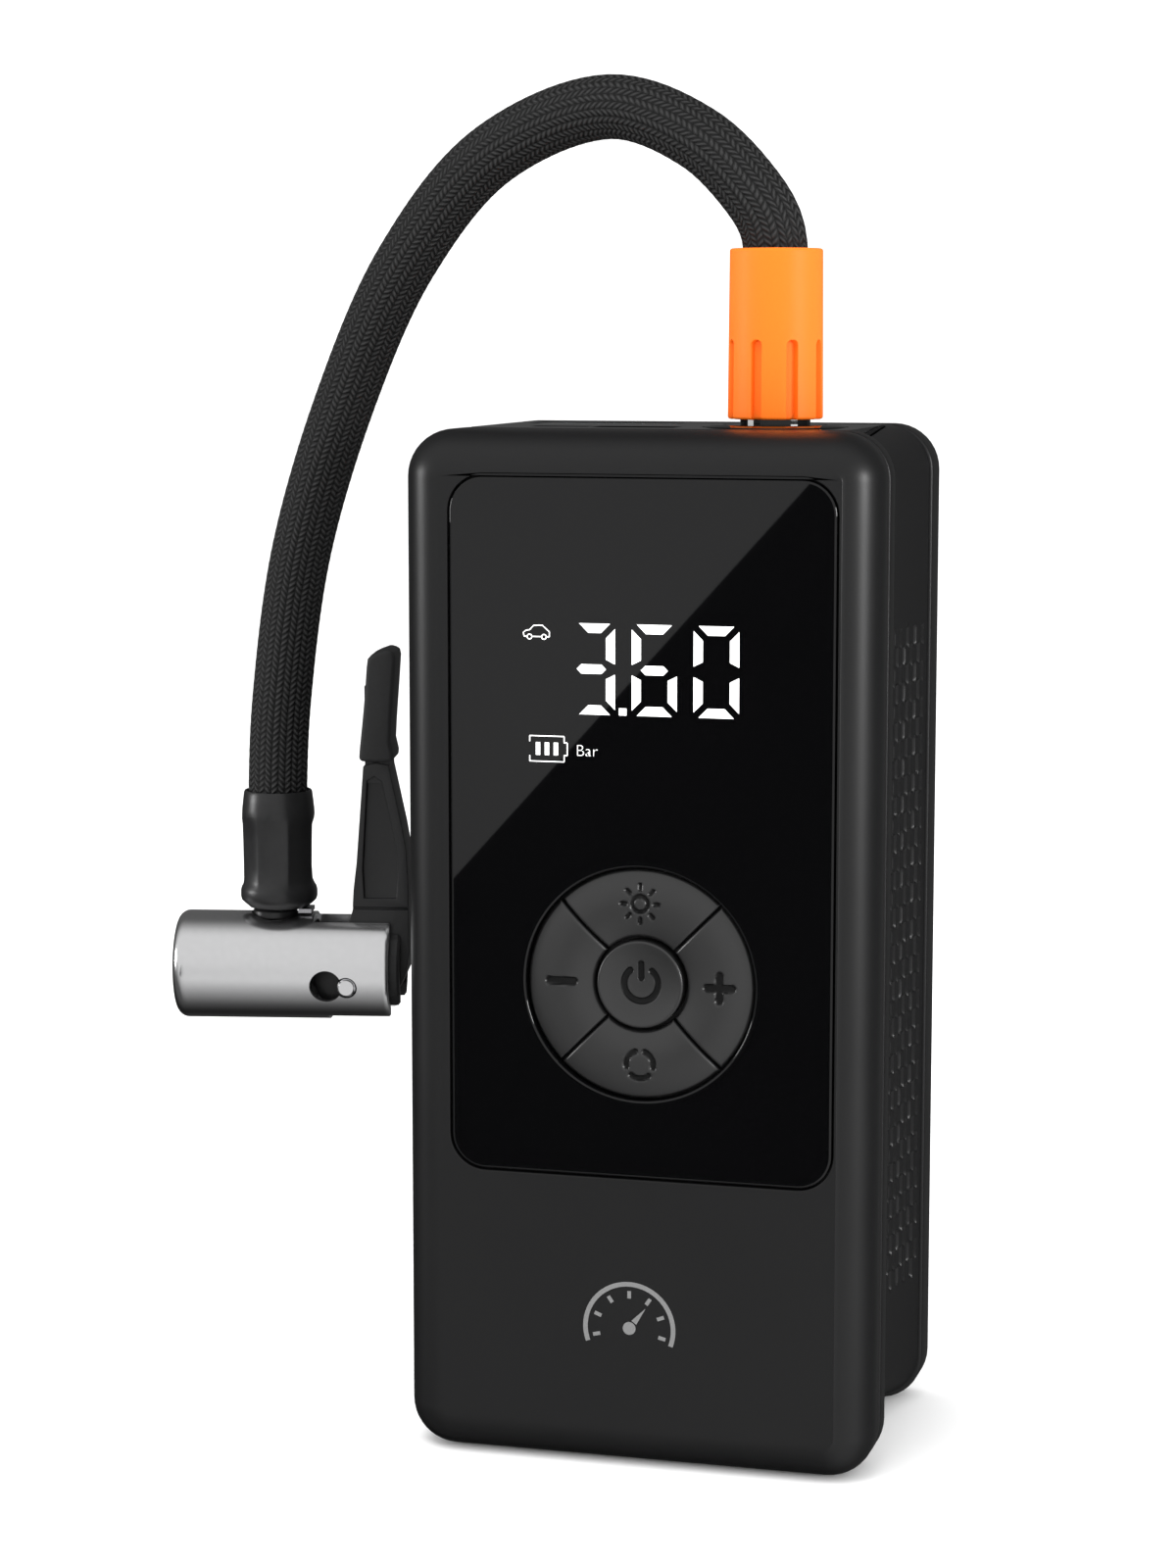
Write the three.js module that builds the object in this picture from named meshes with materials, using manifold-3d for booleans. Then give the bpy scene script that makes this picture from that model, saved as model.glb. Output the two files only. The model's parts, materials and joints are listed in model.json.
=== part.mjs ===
// Handheld cordless tyre inflator with a lit gauge and a lever chuck on a braided hose.
// Millimetres. +X is the user's right, +Y runs from the display to the rear cover, +Z is up.
// The origin is the middle of the footprint that the case stands on.
import * as THREE from 'three';
import { mergeVertices } from 'three/addons/utils/BufferGeometryUtils.js';
import Module from 'manifold-3d';

const wasm = await Module();
wasm.setup();

// ---------------------------------------------------------------- driving sizes

const gap = 0.3; // between parts that touch in the real object
const through = 1; // how far a cutting tool passes a face

// case
const caseWidth = 76.6;
const caseHeight = 165;
const caseDepth = 55;
const outlineRadius = 7.5;
const frontRounding = 7;
const shellWall = 2.2;
const shellDepth = 9.5;
const frontWall = 3.5; // front shell behind the display panel
const seamGroove = 1; // open groove between the front and middle shells
const tongueReach = 1.6; // middle shell's rim, lapped inside the front shell
const tongueWall = 1.2;
const bandDepth = 4;
const waistInset = 5;
const waistFlare = 4.4; // how much of the inset the side wall has won back at the rear cover
const lipDepth = 7.3;
const lipEdge = 1.2;
const rearWall = 2;
const topWall = 3.2;
const topFloor = 1.3; // what is left of the top wall below the top panel

// display panel
const panelOffset = 1.24; // the panel sits a little right of the middle
const panelHalfWidth = 30.9;
const panelTop = caseHeight - 7.1;
const panelLength = 110.2;
const panelBottom = panelTop - panelLength;
const panelRadius = 5.5;
const panelThickness = 1.7;
const displayWidth = 42;
const displayHeight = 32;
const displayCentreZ = panelTop - 33.4;
const moduleFront = 2.3; // display module's face, behind the front plane
const boardFront = 9;
const boardThickness = 1.6;
const boardHalfWidth = 31;
const boardBottom = panelBottom + gap;
const boardTop = panelTop - 11.9;

// button pad
const padZ = panelBottom + 31;
const padRadius = 18.3;
const powerRadius = 6.95;
const ringInner = 7.55;
const buttonGap = 0.45;
const buttonDepth = 3;
const dishDepth = 0.9;
const buttonTravel = 0.6;
const stemRadius = 2;
const stemRing = 12.8; // stems of the four outer buttons lie on this circle
const stemEnd = 5.5;
const switchFront = stemEnd + buttonTravel + gap;
const switchSize = 6;
const switchHeight = 1.7;
const frameFront = 3.8;
const frameThickness = 0.9;

// top panel, ports and lamp
const topPanelHalfWidth = 31;
const topPanelFront = -14.4;
const topPanelBack = 18.6;
const topPanelRadius = 4;
const topPanelThickness = 1.6;
const portY = -5.5;
const portInset = 0.4;
const portLength = 14;
const usbCX = -17.6;
const usbCWidth = 8.94;
const usbCHeight = 3.26;
const usbAX = -5.2;
const usbAWidth = 13.1;
const usbAHeight = 5.7;
const portSheet = 0.3;
const portBoardThickness = 1.6;
const lampX = -15;
const lampY = 12.6;
const lampWidth = 24;
const lampDepth = 8.6;
const lampThickness = 1.5;
const lampBoardZ = caseHeight - 6.4;

// hose outlet and collar
const outletX = 16.3;
const outletY = 0;
const dishRadius = 11.7;
const flangeRadius = 8;
const socketRadius = 5.6;
const socketTop = caseHeight + 11;
const socketTail = caseHeight - 5.4; // end of its stub, inside the cylinder head
const socketTailRadius = 2.2;
const collarBottom = caseHeight + 1.3;
const collarTop = collarBottom + 26.9;
const collarBottomRadius = 7.6;
const collarTopRadius = 7.4;
const collarClearance = 0.5;
const collarGrooves = 8;
const grooveWidth = 1.7;
const grooveDepth = 1;
const grooveLength = 12.4;

// hose and chuck
const hoseDiameter = 10.2;
const hoseSides = 12;
const hoseSteps = 18;
const chuckPlace = [-78.4, 25, 68.7];
const chuckTurn = 12; // degrees about Z
const barrelLeft = -17.9;
const barrelRight = 20.3;
const barrelRadius = 9.5;
const barrelWall = 1.4;
const barrelLip = 0.6; // turned-in mouth that holds the seal
const ferruleBottom = barrelRadius + 0.9; // heights above the barrel's axis
const ferruleTop = ferruleBottom + 20.8;
const ferruleShoulder = ferruleTop - 4.2;
const ferruleBore = ferruleTop - 7.2;
const ferruleClearance = 0.4;
const neckX = -0.7;
const neckRadius = 3.9;
const neckBottom = barrelRadius - 1.1;
const pinX = 12.9;
const pinZ = -2.5;
const pinRadius = 1.6;
const keyholeX = 9.3;
const keyholeRadius = 2.85;
const leverThickness = 8.2;
const leverSideGap = 0.45;
const camRadius = 5.6;
const camShift = [-0.7, 0.75]; // cam centre from the pin, locked
const camTouch = 0.35;
const topSlotStart = 6.6;
const bottomSlotStart = 9.2;
const leverTop = 36.4;
const gripLeft = 15;
const gripRight = 20.9;
const gripBottom = leverTop + gap;
const gripThickness = 9.8;
const tongueInset = 2.3; // lever's tongue from the two edges of the grip
const tongueHalf = 2.6;
const tongueTop = 52;
const sealThickness = 5;
const sealBore = 4.1;
const cartridgeLeft = -11.9;
const cartridgeRecess = 5;
const valveStemRadius = 1.1;
const endRingWall = 1.7;
const endRingEdge = barrelRight + 1.7;

// pump and battery
const pumpY = 2.5; // motor, gears, cylinder and cells share this plane
const gearModule = 0.8;
const gearTeeth = 40;
const pinionTeeth = 10;
const gearWidth = 4;
const toothAddendum = 0.6;
const toothDedendum = 0.95;
const cylinderTop = caseHeight - 8;
const cylinderBottom = cylinderTop - 20;
const motorZ = cylinderBottom - 39;
const motorRadius = 13.5;
const motorLength = 34;
const motorShaft = 1.15;
const plateThickness = 1.4;
const plateToGear = 0.8;
const crankThrow = 6;
const crankPinRadius = 2;
const crankPinLength = 1.8;
const crankClearance = 0.4;
const gearShaftRadius = 2;
const rodThickness = 2.6;
const rodWidth = 5;
const rodEye = 4;
const cylinderRadius = 10.3;
const cylinderBore = 8.4;
const pistonClearance = 0.3;
const pistonHeight = 6;
const headHeight = 3.9;
const cellRadius = 9.2;
const cellToMotor = 8.2; // room for the cap between the cells and the motor
const cellPitch = 19.6;
const trayBottom = 9;
const trayFloor = 2;
const trayWall = 4.8;
const screwInset = 9.9; // from the case's side, so that the posts stand on the waist's wall
const screwX = caseWidth / 2 - screwInset;
const screwHeights = [14, caseHeight - 37];
const screwPlaces = screwHeights.flatMap((z) => [[-screwX, z], [screwX, z]]);
const screwHeadRadius = 2.7;
const screwHeadHeight = 1.8;
const screwShank = 1.4;
const postRadius = 3.6;

// ---------------------------------------------------------------- derived places

const halfWidth = caseWidth / 2;
const front = -caseDepth / 2;
const back = caseDepth / 2;
const seam = front + shellDepth;
const bandFront = seam + seamGroove;
const bandBack = bandFront + bandDepth;
const lipFront = back - lipDepth;
const shelfBack = bandFront + shellWall;
const postEnd = lipFront - lipDepth; // where the posts for the screws meet the rear cover's bosses
const floorZ = caseHeight - topWall;
const topFloorZ = floorZ + topFloor;
const topPanelZ = caseHeight - topPanelThickness;
const portTop = caseHeight - portInset;
const portBottom = portTop - portLength;
const hoseRadius = hoseDiameter / 2;
const pinionRadius = (gearModule * pinionTeeth) / 2;
const gearRadius = (gearModule * gearTeeth) / 2;
const gearZ = motorZ + pinionRadius + gearRadius;
const rodLeft = outletX - rodThickness / 2;
const gearRight = rodLeft - crankClearance - crankPinLength;
const gearLeft = gearRight - gearWidth;
const plateRight = gearLeft - plateToGear;
const plateLeft = plateRight - plateThickness;
const motorRight = plateLeft - gap;
const crankPinZ = gearZ - crankThrow;
const pistonBottom = cylinderBottom + 1;
const camX = pinX + camShift[0];
const camZ = pinZ + camShift[1];
const cartridgeRight = camX - camRadius - camTouch;

// ---------------------------------------------------------------- shape helpers

const radians = THREE.MathUtils.degToRad;

/** A closed mesh as a solid that can be cut and joined. */
function solidOf(geometry) {
  const bare = geometry.clone();
  bare.deleteAttribute('normal');
  bare.deleteAttribute('uv');
  const merged = mergeVertices(bare, 1e-4);
  const mesh = new wasm.Mesh({
    numProp: 3,
    vertProperties: Float32Array.from(merged.attributes.position.array),
    triVerts: Uint32Array.from(merged.index.array),
  });
  return new wasm.Manifold(mesh);
}

function geometryOf(solid) {
  const mesh = solid.getMesh();
  const geometry = new THREE.BufferGeometry();
  geometry.setAttribute('position', new THREE.BufferAttribute(mesh.vertProperties, 3));
  geometry.setIndex(new THREE.BufferAttribute(mesh.triVerts, 1));
  geometry.computeVertexNormals();
  return geometry;
}

const cut = (geometry, ...tools) =>
  geometryOf(tools.reduce((solid, tool) => solid.subtract(solidOf(tool)), solidOf(geometry)));
const join = (geometry, ...others) =>
  geometryOf(others.reduce((solid, other) => solid.add(solidOf(other)), solidOf(geometry)));
const common = (geometry, other) => geometryOf(solidOf(geometry).intersect(solidOf(other)));

function box(x0, x1, y0, y1, z0, z1) {
  const geometry = new THREE.BoxGeometry(x1 - x0, y1 - y0, z1 - z0);
  return geometry.translate((x0 + x1) / 2, (y0 + y1) / 2, (z0 + z1) / 2);
}

const cylinderX = (radius, x0, x1, y, z, sides = 24) =>
  new THREE.CylinderGeometry(radius, radius, x1 - x0, sides)
    .rotateZ(-Math.PI / 2)
    .translate((x0 + x1) / 2, y, z);
const cylinderY = (radius, y0, y1, x, z, sides = 24) =>
  new THREE.CylinderGeometry(radius, radius, y1 - y0, sides).translate(x, (y0 + y1) / 2, z);
const cylinderZ = (radius, z0, z1, x, y, sides = 24) =>
  new THREE.CylinderGeometry(radius, radius, z1 - z0, sides)
    .rotateX(Math.PI / 2)
    .translate(x, y, (z0 + z1) / 2);

/**
 * Turned solid: [radius, height] pairs, either way round, that start and end on the axis or
 * close on themselves.
 */
function turned(profile, sides) {
  const points = profile.map(([radius, height]) => new THREE.Vector2(radius, height));
  if (THREE.ShapeUtils.area(points) < 0) points.reverse();
  return new THREE.LatheGeometry(points, sides);
}
const turnedZ = (profile, x, y, sides = 32) =>
  turned(profile, sides).rotateX(Math.PI / 2).translate(x, y, 0);
const turnedX = (profile, y, z, sides = 32) =>
  turned(profile, sides).rotateZ(-Math.PI / 2).translate(0, y, z);

/** Plate whose outline is drawn in X and Z, between two values of Y. */
function plateY(shape, y0, y1, curveSegments = 6) {
  const options = { depth: y1 - y0, bevelEnabled: false, curveSegments };
  return new THREE.ExtrudeGeometry(shape, options).rotateX(Math.PI / 2).translate(0, y1, 0);
}

/** Plate whose outline is drawn in X and Y, between two values of Z. */
function plateZ(shape, z0, z1, curveSegments = 6) {
  const options = { depth: z1 - z0, bevelEnabled: false, curveSegments };
  return new THREE.ExtrudeGeometry(shape, options).translate(0, 0, z0);
}

function roundedShape(left, right, low, high, radius) {
  const shape = new THREE.Shape();
  shape.absarc(right - radius, high - radius, radius, 0, Math.PI / 2);
  shape.absarc(left + radius, high - radius, radius, Math.PI / 2, Math.PI);
  shape.absarc(left + radius, low + radius, radius, Math.PI, 1.5 * Math.PI);
  shape.absarc(right - radius, low + radius, radius, 1.5 * Math.PI, 2 * Math.PI);
  return shape;
}

function polygon(points) {
  return new THREE.Shape(points.map(([x, y]) => new THREE.Vector2(x, y)));
}

/**
 * Skin over a row of rounded rectangles, each { y, inset, top, radius }: inset moves the two
 * sides and the bottom in from the case's outline, and top moves its top edge down.
 */
function loft(sections) {
  const cornerSteps = 5;
  const ring = cornerSteps * 4 + 4;
  const positions = [];
  for (const { y, inset, top = inset, radius } of sections) {
    const x = halfWidth - inset - radius;
    const corners = [[x, caseHeight - top - radius], [-x, caseHeight - top - radius]];
    corners.push([-x, inset + radius], [x, inset + radius]);
    corners.forEach(([centreX, centreZ], corner) => {
      for (let step = 0; step <= cornerSteps; step += 1) {
        const angle = ((corner + step / cornerSteps) * Math.PI) / 2;
        positions.push(centreX + radius * Math.cos(angle), y, centreZ + radius * Math.sin(angle));
      }
    });
  }
  const faces = [];
  const last = (sections.length - 1) * ring;
  for (let start = 0; start < last; start += ring) {
    for (let k = 0; k < ring; k += 1) {
      const next = (k + 1) % ring;
      faces.push(start + k, start + ring + k, start + ring + next);
      faces.push(start + k, start + ring + next, start + next);
    }
  }
  for (let k = 1; k < ring - 1; k += 1) {
    faces.push(0, k, k + 1, last, last + k + 1, last + k);
  }
  const geometry = new THREE.BufferGeometry();
  geometry.setAttribute('position', new THREE.Float32BufferAttribute(positions, 3));
  geometry.setIndex(faces);
  return geometry;
}

// ---------------------------------------------------------------- materials and assembly

const finish = (color, roughness, metalness = 0) => ({ color, roughness, metalness });
const satinBlack = finish(0x1b1b1c, 0.42);
const glossBlack = finish(0x060607, 0.06);
const buttonGrey = finish(0x2c2c2d, 0.5);
const matteBlack = finish(0x141415, 0.6);
const softBlack = finish(0x1c1c1d, 0.8);
const orange = finish(0xff7a1c, 0.45);
const braid = finish(0x232325, 0.85);
const chromed = finish(0xd8d8d8, 0.15, 1);
const steel = finish(0xa8a8ab, 0.35, 1);
const brassy = finish(0xc2a35a, 0.3, 1);
const aluminium = finish(0xb9babd, 0.45, 1);
const greenBoard = finish(0x1d4a32, 0.5);
const clearLens = finish(0xdfe6ea, 0.08);
const cellBlue = finish(0x2f62a8, 0.4);
const nylon = finish(0xe6e2d6, 0.55);
const ledWhite = finish(0xf4f6ff, 0.3);

const inflator = new THREE.Group();
inflator.name = 'tyre_inflator';

const chuck = new THREE.Group();
chuck.position.set(...chuckPlace);
chuck.rotation.z = radians(chuckTurn);
inflator.add(chuck);

function part(name, geometry, material, group = inflator) {
  const mesh = new THREE.Mesh(geometry, new THREE.MeshStandardMaterial(material));
  mesh.name = name;
  group.add(mesh);
}

// ---------------------------------------------------------------- front shell and display

function frontShell() {
  const sections = [];
  const steps = 5;
  for (let step = 0; step <= steps; step += 1) {
    const angle = ((1 - step / steps) * Math.PI) / 2;
    const inset = frontRounding * (1 - Math.cos(angle));
    const y = front + frontRounding * (1 - Math.sin(angle));
    sections.push({ y, inset, radius: outlineRadius - inset });
  }
  sections.push({ y: seam, inset: 0, radius: outlineRadius });
  const inner = { inset: shellWall, radius: outlineRadius - shellWall };
  const cavity = loft([{ y: front + frontWall, ...inner }, { y: seam + through, ...inner }]);
  const pocket = plateY(
    roundedShape(
      panelOffset - panelHalfWidth - gap,
      panelOffset + panelHalfWidth + gap,
      panelBottom - gap,
      panelTop + gap,
      panelRadius + gap,
    ),
    front - through,
    front + panelThickness + gap,
  );
  const window = box(
    panelOffset - displayWidth / 2 - gap,
    panelOffset + displayWidth / 2 + gap,
    front,
    front + frontWall + through,
    displayCentreZ - displayHeight / 2 - gap,
    displayCentreZ + displayHeight / 2 + gap,
  );
  const well = cylinderY(padRadius + gap, front, front + frontWall + through, panelOffset, padZ, 40);
  return cut(loft(sections), cavity, pocket, window, well);
}

function displayPanel() {
  const outline = roundedShape(
    panelOffset - panelHalfWidth,
    panelOffset + panelHalfWidth,
    panelBottom,
    panelTop,
    panelRadius,
  );
  const hole = cylinderY(padRadius + gap, front - through, front + frontWall, panelOffset, padZ, 40);
  return cut(plateY(outline, front, front + panelThickness), hole);
}

function displayModule() {
  return box(
    panelOffset - displayWidth / 2,
    panelOffset + displayWidth / 2,
    front + moduleFront,
    front + boardFront - gap,
    displayCentreZ - displayHeight / 2,
    displayCentreZ + displayHeight / 2,
  );
}

part('front_shell', frontShell(), satinBlack);
part('display_panel', displayPanel(), glossBlack);
part('display_module', displayModule(), ledWhite);

// ---------------------------------------------------------------- button pad

/** Ring that the four outer buttons are cut from, dished between its outer and inner edges. */
function buttonRing() {
  const outer = padRadius;
  const middle = (outer + ringInner + buttonGap) / 2;
  const inner = ringInner + buttonGap;
  const profile = [
    [inner, buttonDepth],
    [outer, buttonDepth],
    [outer, 0.4],
    [outer - 1.5, 0.2 + dishDepth / 2],
    [middle, 0.2 + dishDepth],
    [inner + 1.5, 0.2 + dishDepth / 2],
    [inner, 0.3],
    [inner, buttonDepth],
  ];
  // depth grows along +Y, so the turned profile stands on its own axis
  return turned(profile, 48).translate(panelOffset, front, padZ);
}

const stemPlace = (angle) => [
  panelOffset + stemRing * Math.cos(angle),
  padZ + stemRing * Math.sin(angle),
];

function outerButton(angle) {
  const reach = padRadius * 1.5;
  const half = buttonGap / 2;
  // a quarter wedge whose two straight sides stay half a gap away from the diagonals
  const tip = half * Math.SQRT2;
  const spread = Math.PI / 4;
  const corner = (turn) => [
    panelOffset + tip * Math.cos(angle) + reach * Math.cos(angle + turn),
    padZ + tip * Math.sin(angle) + reach * Math.sin(angle + turn),
  ];
  const wedge = plateY(
    polygon([
      [panelOffset + tip * Math.cos(angle), padZ + tip * Math.sin(angle)],
      corner(-spread),
      corner(spread),
    ]),
    front - through,
    front + buttonDepth + through,
  );
  const [x, z] = stemPlace(angle);
  const stem = cylinderY(stemRadius, front + buttonDepth - gap, front + stemEnd, x, z, 12);
  return join(common(buttonRing(), wedge), stem);
}

function powerButton() {
  const profile = [
    [0, stemEnd],
    [stemRadius, stemEnd],
    [stemRadius, buttonDepth],
    [powerRadius, buttonDepth],
    [powerRadius, 0.35],
    [powerRadius * 0.8, 0.5],
    [powerRadius * 0.4, 0.75],
    [0, 0.85],
  ];
  return turned(profile, 32).translate(panelOffset, front, padZ);
}

const outerButtons = {
  plus_button: 0,
  lamp_button: Math.PI / 2,
  minus_button: Math.PI,
  mode_button: 1.5 * Math.PI,
};
for (const [name, angle] of Object.entries(outerButtons)) {
  part(name, outerButton(angle), buttonGrey);
}
part('power_button', powerButton(), buttonGrey);

function buttonFrame() {
  const outer = padRadius + 3;
  const y0 = front + frameFront;
  const y1 = y0 + frameThickness;
  const holes = Object.values(outerButtons).map((angle) => stemPlace(angle));
  holes.push([panelOffset, padZ]);
  return cut(
    cylinderY(outer, y0, y1, panelOffset, padZ, 32),
    ...holes.map(([x, z]) => cylinderY(stemRadius + gap, y0 - through, y1 + through, x, z, 12)),
  );
}

function tactSwitch(x, z) {
  const half = switchSize / 2;
  const bodyFront = front + switchFront + 0.8;
  return join(
    box(x - half, x + half, bodyFront, front + boardFront - gap, z - half, z + half),
    cylinderY(switchHeight, front + switchFront, bodyFront + 0.1, x, z, 12),
  );
}

part('button_frame', buttonFrame(), matteBlack);
for (const [name, angle] of Object.entries(outerButtons)) {
  part(name.replace('button', 'switch'), tactSwitch(...stemPlace(angle)), matteBlack);
}
part('power_switch', tactSwitch(panelOffset, padZ), matteBlack);
part(
  'main_board',
  box(
    panelOffset - boardHalfWidth,
    panelOffset + boardHalfWidth,
    front + boardFront,
    front + boardFront + boardThickness,
    boardBottom,
    boardTop,
  ),
  greenBoard,
);

// ---------------------------------------------------------------- middle shell and rear cover

/** Inset of the side wall along the waist: parallel behind the band, then flaring outwards. */
function waistSections(extra, start, end) {
  const steps = 6;
  const sections = [];
  for (let step = 0; step <= steps; step += 1) {
    const share = step / steps;
    const inset = waistInset - waistFlare * share ** 2 + extra;
    const radius = outlineRadius - extra;
    sections.push({ y: start + (end - start) * share, inset, top: extra, radius });
  }
  return sections;
}

const screwPosts = () =>
  screwPlaces.map(([x, z]) => cylinderY(postRadius, shelfBack - gap, postEnd, x, z, 16));

/** Rim that laps inside the front shell and closes the groove between the two. */
function tongue() {
  const rim = (inset, y0, y1) => loft([
    { y: y0, inset, radius: outlineRadius - inset },
    { y: y1, inset, radius: outlineRadius - inset },
  ]);
  const outer = shellWall + gap;
  return cut(
    rim(outer, seam - tongueReach, bandFront + gap),
    rim(outer + tongueWall, seam - tongueReach - through, bandFront + through),
  );
}

function middleShell() {
  const outer = loft([
    { y: bandFront, inset: 0, radius: outlineRadius },
    { y: bandBack, inset: 0, radius: outlineRadius },
    ...waistSections(0, bandBack, lipFront - gap),
  ]);
  const bandInner = { inset: shellWall, top: topWall, radius: outlineRadius - shellWall };
  const cavity = loft([
    { y: bandFront - through, ...bandInner },
    { y: shelfBack, ...bandInner },
    ...waistSections(shellWall, shelfBack, lipFront - gap)
      .map((section) => ({ ...section, top: topWall })),
    { y: lipFront + through, inset: waistInset - waistFlare + shellWall, top: topWall,
      radius: outlineRadius - shellWall },
  ]);
  const pocket = plateZ(
    roundedShape(
      -topPanelHalfWidth - gap,
      topPanelHalfWidth + gap,
      topPanelFront - gap,
      topPanelBack + gap,
      topPanelRadius,
    ),
    topFloorZ,
    caseHeight + through,
  );
  const below = floorZ - through;
  const portHole = (x, width, height) => box(
    x - width / 2 - gap, x + width / 2 + gap,
    portY - height / 2 - gap, portY + height / 2 + gap,
    below, caseHeight,
  );
  const lampHole = box(
    lampX - lampWidth / 2 + 1, lampX + lampWidth / 2 - 1,
    lampY - lampDepth / 2 + 1, lampY + lampDepth / 2 - 1,
    below, caseHeight,
  );
  const socketHole = cylinderZ(socketRadius + gap, below, caseHeight, outletX, outletY);
  const hollow = cut(outer, cavity);
  const posted = join(hollow, tongue(), ...screwPosts());
  const pilots = screwPlaces.map(([x, z]) => cylinderY(screwShank + gap, 0, lipFront, x, z, 12));
  return cut(
    posted,
    pocket,
    portHole(usbCX, usbCWidth, usbCHeight),
    portHole(usbAX, usbAWidth, usbAHeight),
    lampHole,
    socketHole,
    ...pilots,
  );
}

function rearCover() {
  const full = { inset: 0, radius: outlineRadius };
  const edge = { inset: lipEdge, radius: outlineRadius - lipEdge };
  const outer = loft([
    { y: lipFront, inset: lipEdge / 2, radius: outlineRadius - lipEdge / 2 },
    { y: lipFront + lipEdge / 2, ...full },
    { y: back - lipEdge, ...full },
    { y: back - lipEdge * 0.3, inset: lipEdge * 0.3, radius: outlineRadius - lipEdge * 0.3 },
    { y: back, ...edge },
  ]);
  const inner = { inset: shellWall + waistInset - waistFlare, radius: outlineRadius - shellWall };
  const cavity = loft([{ y: lipFront - through, ...inner }, { y: back - rearWall, ...inner }]);
  const bosses = screwPlaces.map(([x, z]) =>
    cylinderY(postRadius, postEnd + gap, back - rearWall + 0.5, x, z, 16));
  const holes = screwPlaces.flatMap(([x, z]) => [
    cylinderY(screwShank + gap, postEnd, back, x, z, 12),
    cylinderY(screwHeadRadius + gap, back - screwHeadHeight * 2, back + through, x, z, 16),
  ]);
  return cut(join(cut(outer, cavity), ...bosses), ...holes);
}

function coverScrew(x, z) {
  const seat = back - screwHeadHeight * 2 + gap;
  const slot = 0.5;
  const head = join(
    cylinderY(screwHeadRadius, seat, seat + screwHeadHeight, x, z, 16),
    cylinderY(screwShank, gap * 3, seat + 0.1, x, z, 12),
  );
  const top = seat + screwHeadHeight;
  const reach = screwHeadRadius * 0.65;
  return cut(
    head,
    box(x - reach, x + reach, top - 1, top + 1, z - slot / 2, z + slot / 2),
    box(x - slot / 2, x + slot / 2, top - 1, top + 1, z - reach, z + reach),
  );
}

part('middle_shell', middleShell(), satinBlack);
part('rear_cover', rearCover(), satinBlack);
screwPlaces.forEach(([x, z], index) => {
  part(`cover_screw_${index + 1}`, coverScrew(x, z), steel);
});

// ---------------------------------------------------------------- top panel, ports and lamp

function topPanel() {
  const plate = plateZ(
    roundedShape(
      -topPanelHalfWidth, topPanelHalfWidth, topPanelFront, topPanelBack, topPanelRadius - gap,
    ),
    topPanelZ,
    caseHeight,
  );
  const opening = (x, y, width, depth) => box(
    x - width / 2 - gap, x + width / 2 + gap,
    y - depth / 2 - gap, y + depth / 2 + gap,
    topPanelZ - through, caseHeight + through,
  );
  return cut(
    plate,
    opening(usbCX, portY, usbCWidth, usbCHeight),
    opening(usbAX, portY, usbAWidth, usbAHeight),
    opening(lampX, lampY, lampWidth, lampDepth),
    cylinderZ(dishRadius, topPanelZ - through, caseHeight + through, outletX, outletY, 40),
  );
}

/** Socket that faces up: a sheet-metal mouth with its contact tongue standing inside. */
function port(x, width, height, radius, tongueWidth, tongueHeight, tongueOffset) {
  const shell = plateZ(
    roundedShape(x - width / 2, x + width / 2, portY - height / 2, portY + height / 2, radius),
    portBottom,
    portTop,
  );
  const mouth = plateZ(
    roundedShape(
      x - width / 2 + portSheet,
      x + width / 2 - portSheet,
      portY - height / 2 + portSheet,
      portY + height / 2 - portSheet,
      radius - portSheet,
    ),
    portBottom + 3,
    portTop + through,
  );
  const y = portY + tongueOffset;
  const tongue = box(
    x - tongueWidth / 2, x + tongueWidth / 2,
    y - tongueHeight / 2, y + tongueHeight / 2,
    portBottom + 2, portTop - 1,
  );
  return join(cut(shell, mouth), tongue);
}

part('top_panel', topPanel(), glossBlack);
part('usb_c_port', port(usbCX, usbCWidth, usbCHeight, 1.5, 6.4, 0.7, 0), steel);
part('usb_a_port', port(usbAX, usbAWidth, usbAHeight, 0.6, 11.2, 1.8, 1.2), steel);
part(
  'port_board',
  box(
    usbCX - usbCWidth / 2, usbAX + usbAWidth / 2,
    portY - usbAHeight, portY + usbAHeight,
    portBottom - gap - portBoardThickness, portBottom - gap,
  ),
  greenBoard,
);
part(
  'lamp_lens',
  box(
    lampX - lampWidth / 2, lampX + lampWidth / 2,
    lampY - lampDepth / 2, lampY + lampDepth / 2,
    topPanelZ, topPanelZ + lampThickness,
  ),
  clearLens,
);

function lampBoard() {
  const board = box(
    lampX - lampWidth / 2 + 2, lampX + lampWidth / 2 - 2,
    lampY - lampDepth / 2 + 1, lampY + lampDepth / 2 - 1,
    lampBoardZ, lampBoardZ + 1.2,
  );
  const leds = [-6, 0, 6].map((offset) => box(
    lampX + offset - 1.4, lampX + offset + 1.4, lampY - 1.4, lampY + 1.4,
    lampBoardZ + 1, lampBoardZ + 2.2,
  ));
  return join(board, ...leds);
}

part('lamp_board', lampBoard(), ledWhite);

// ---------------------------------------------------------------- hose outlet, collar and hose

function socketBezel() {
  const inner = flangeRadius + gap;
  const outer = dishRadius - gap;
  const base = topFloorZ + gap;
  return turnedZ(
    [
      [inner, base],
      [outer, base],
      [outer, caseHeight],
      [outer - 1, caseHeight + 0.4],
      [inner, caseHeight + 0.4],
      [inner, base],
    ],
    outletX,
    outletY,
    40,
  );
}

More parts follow.
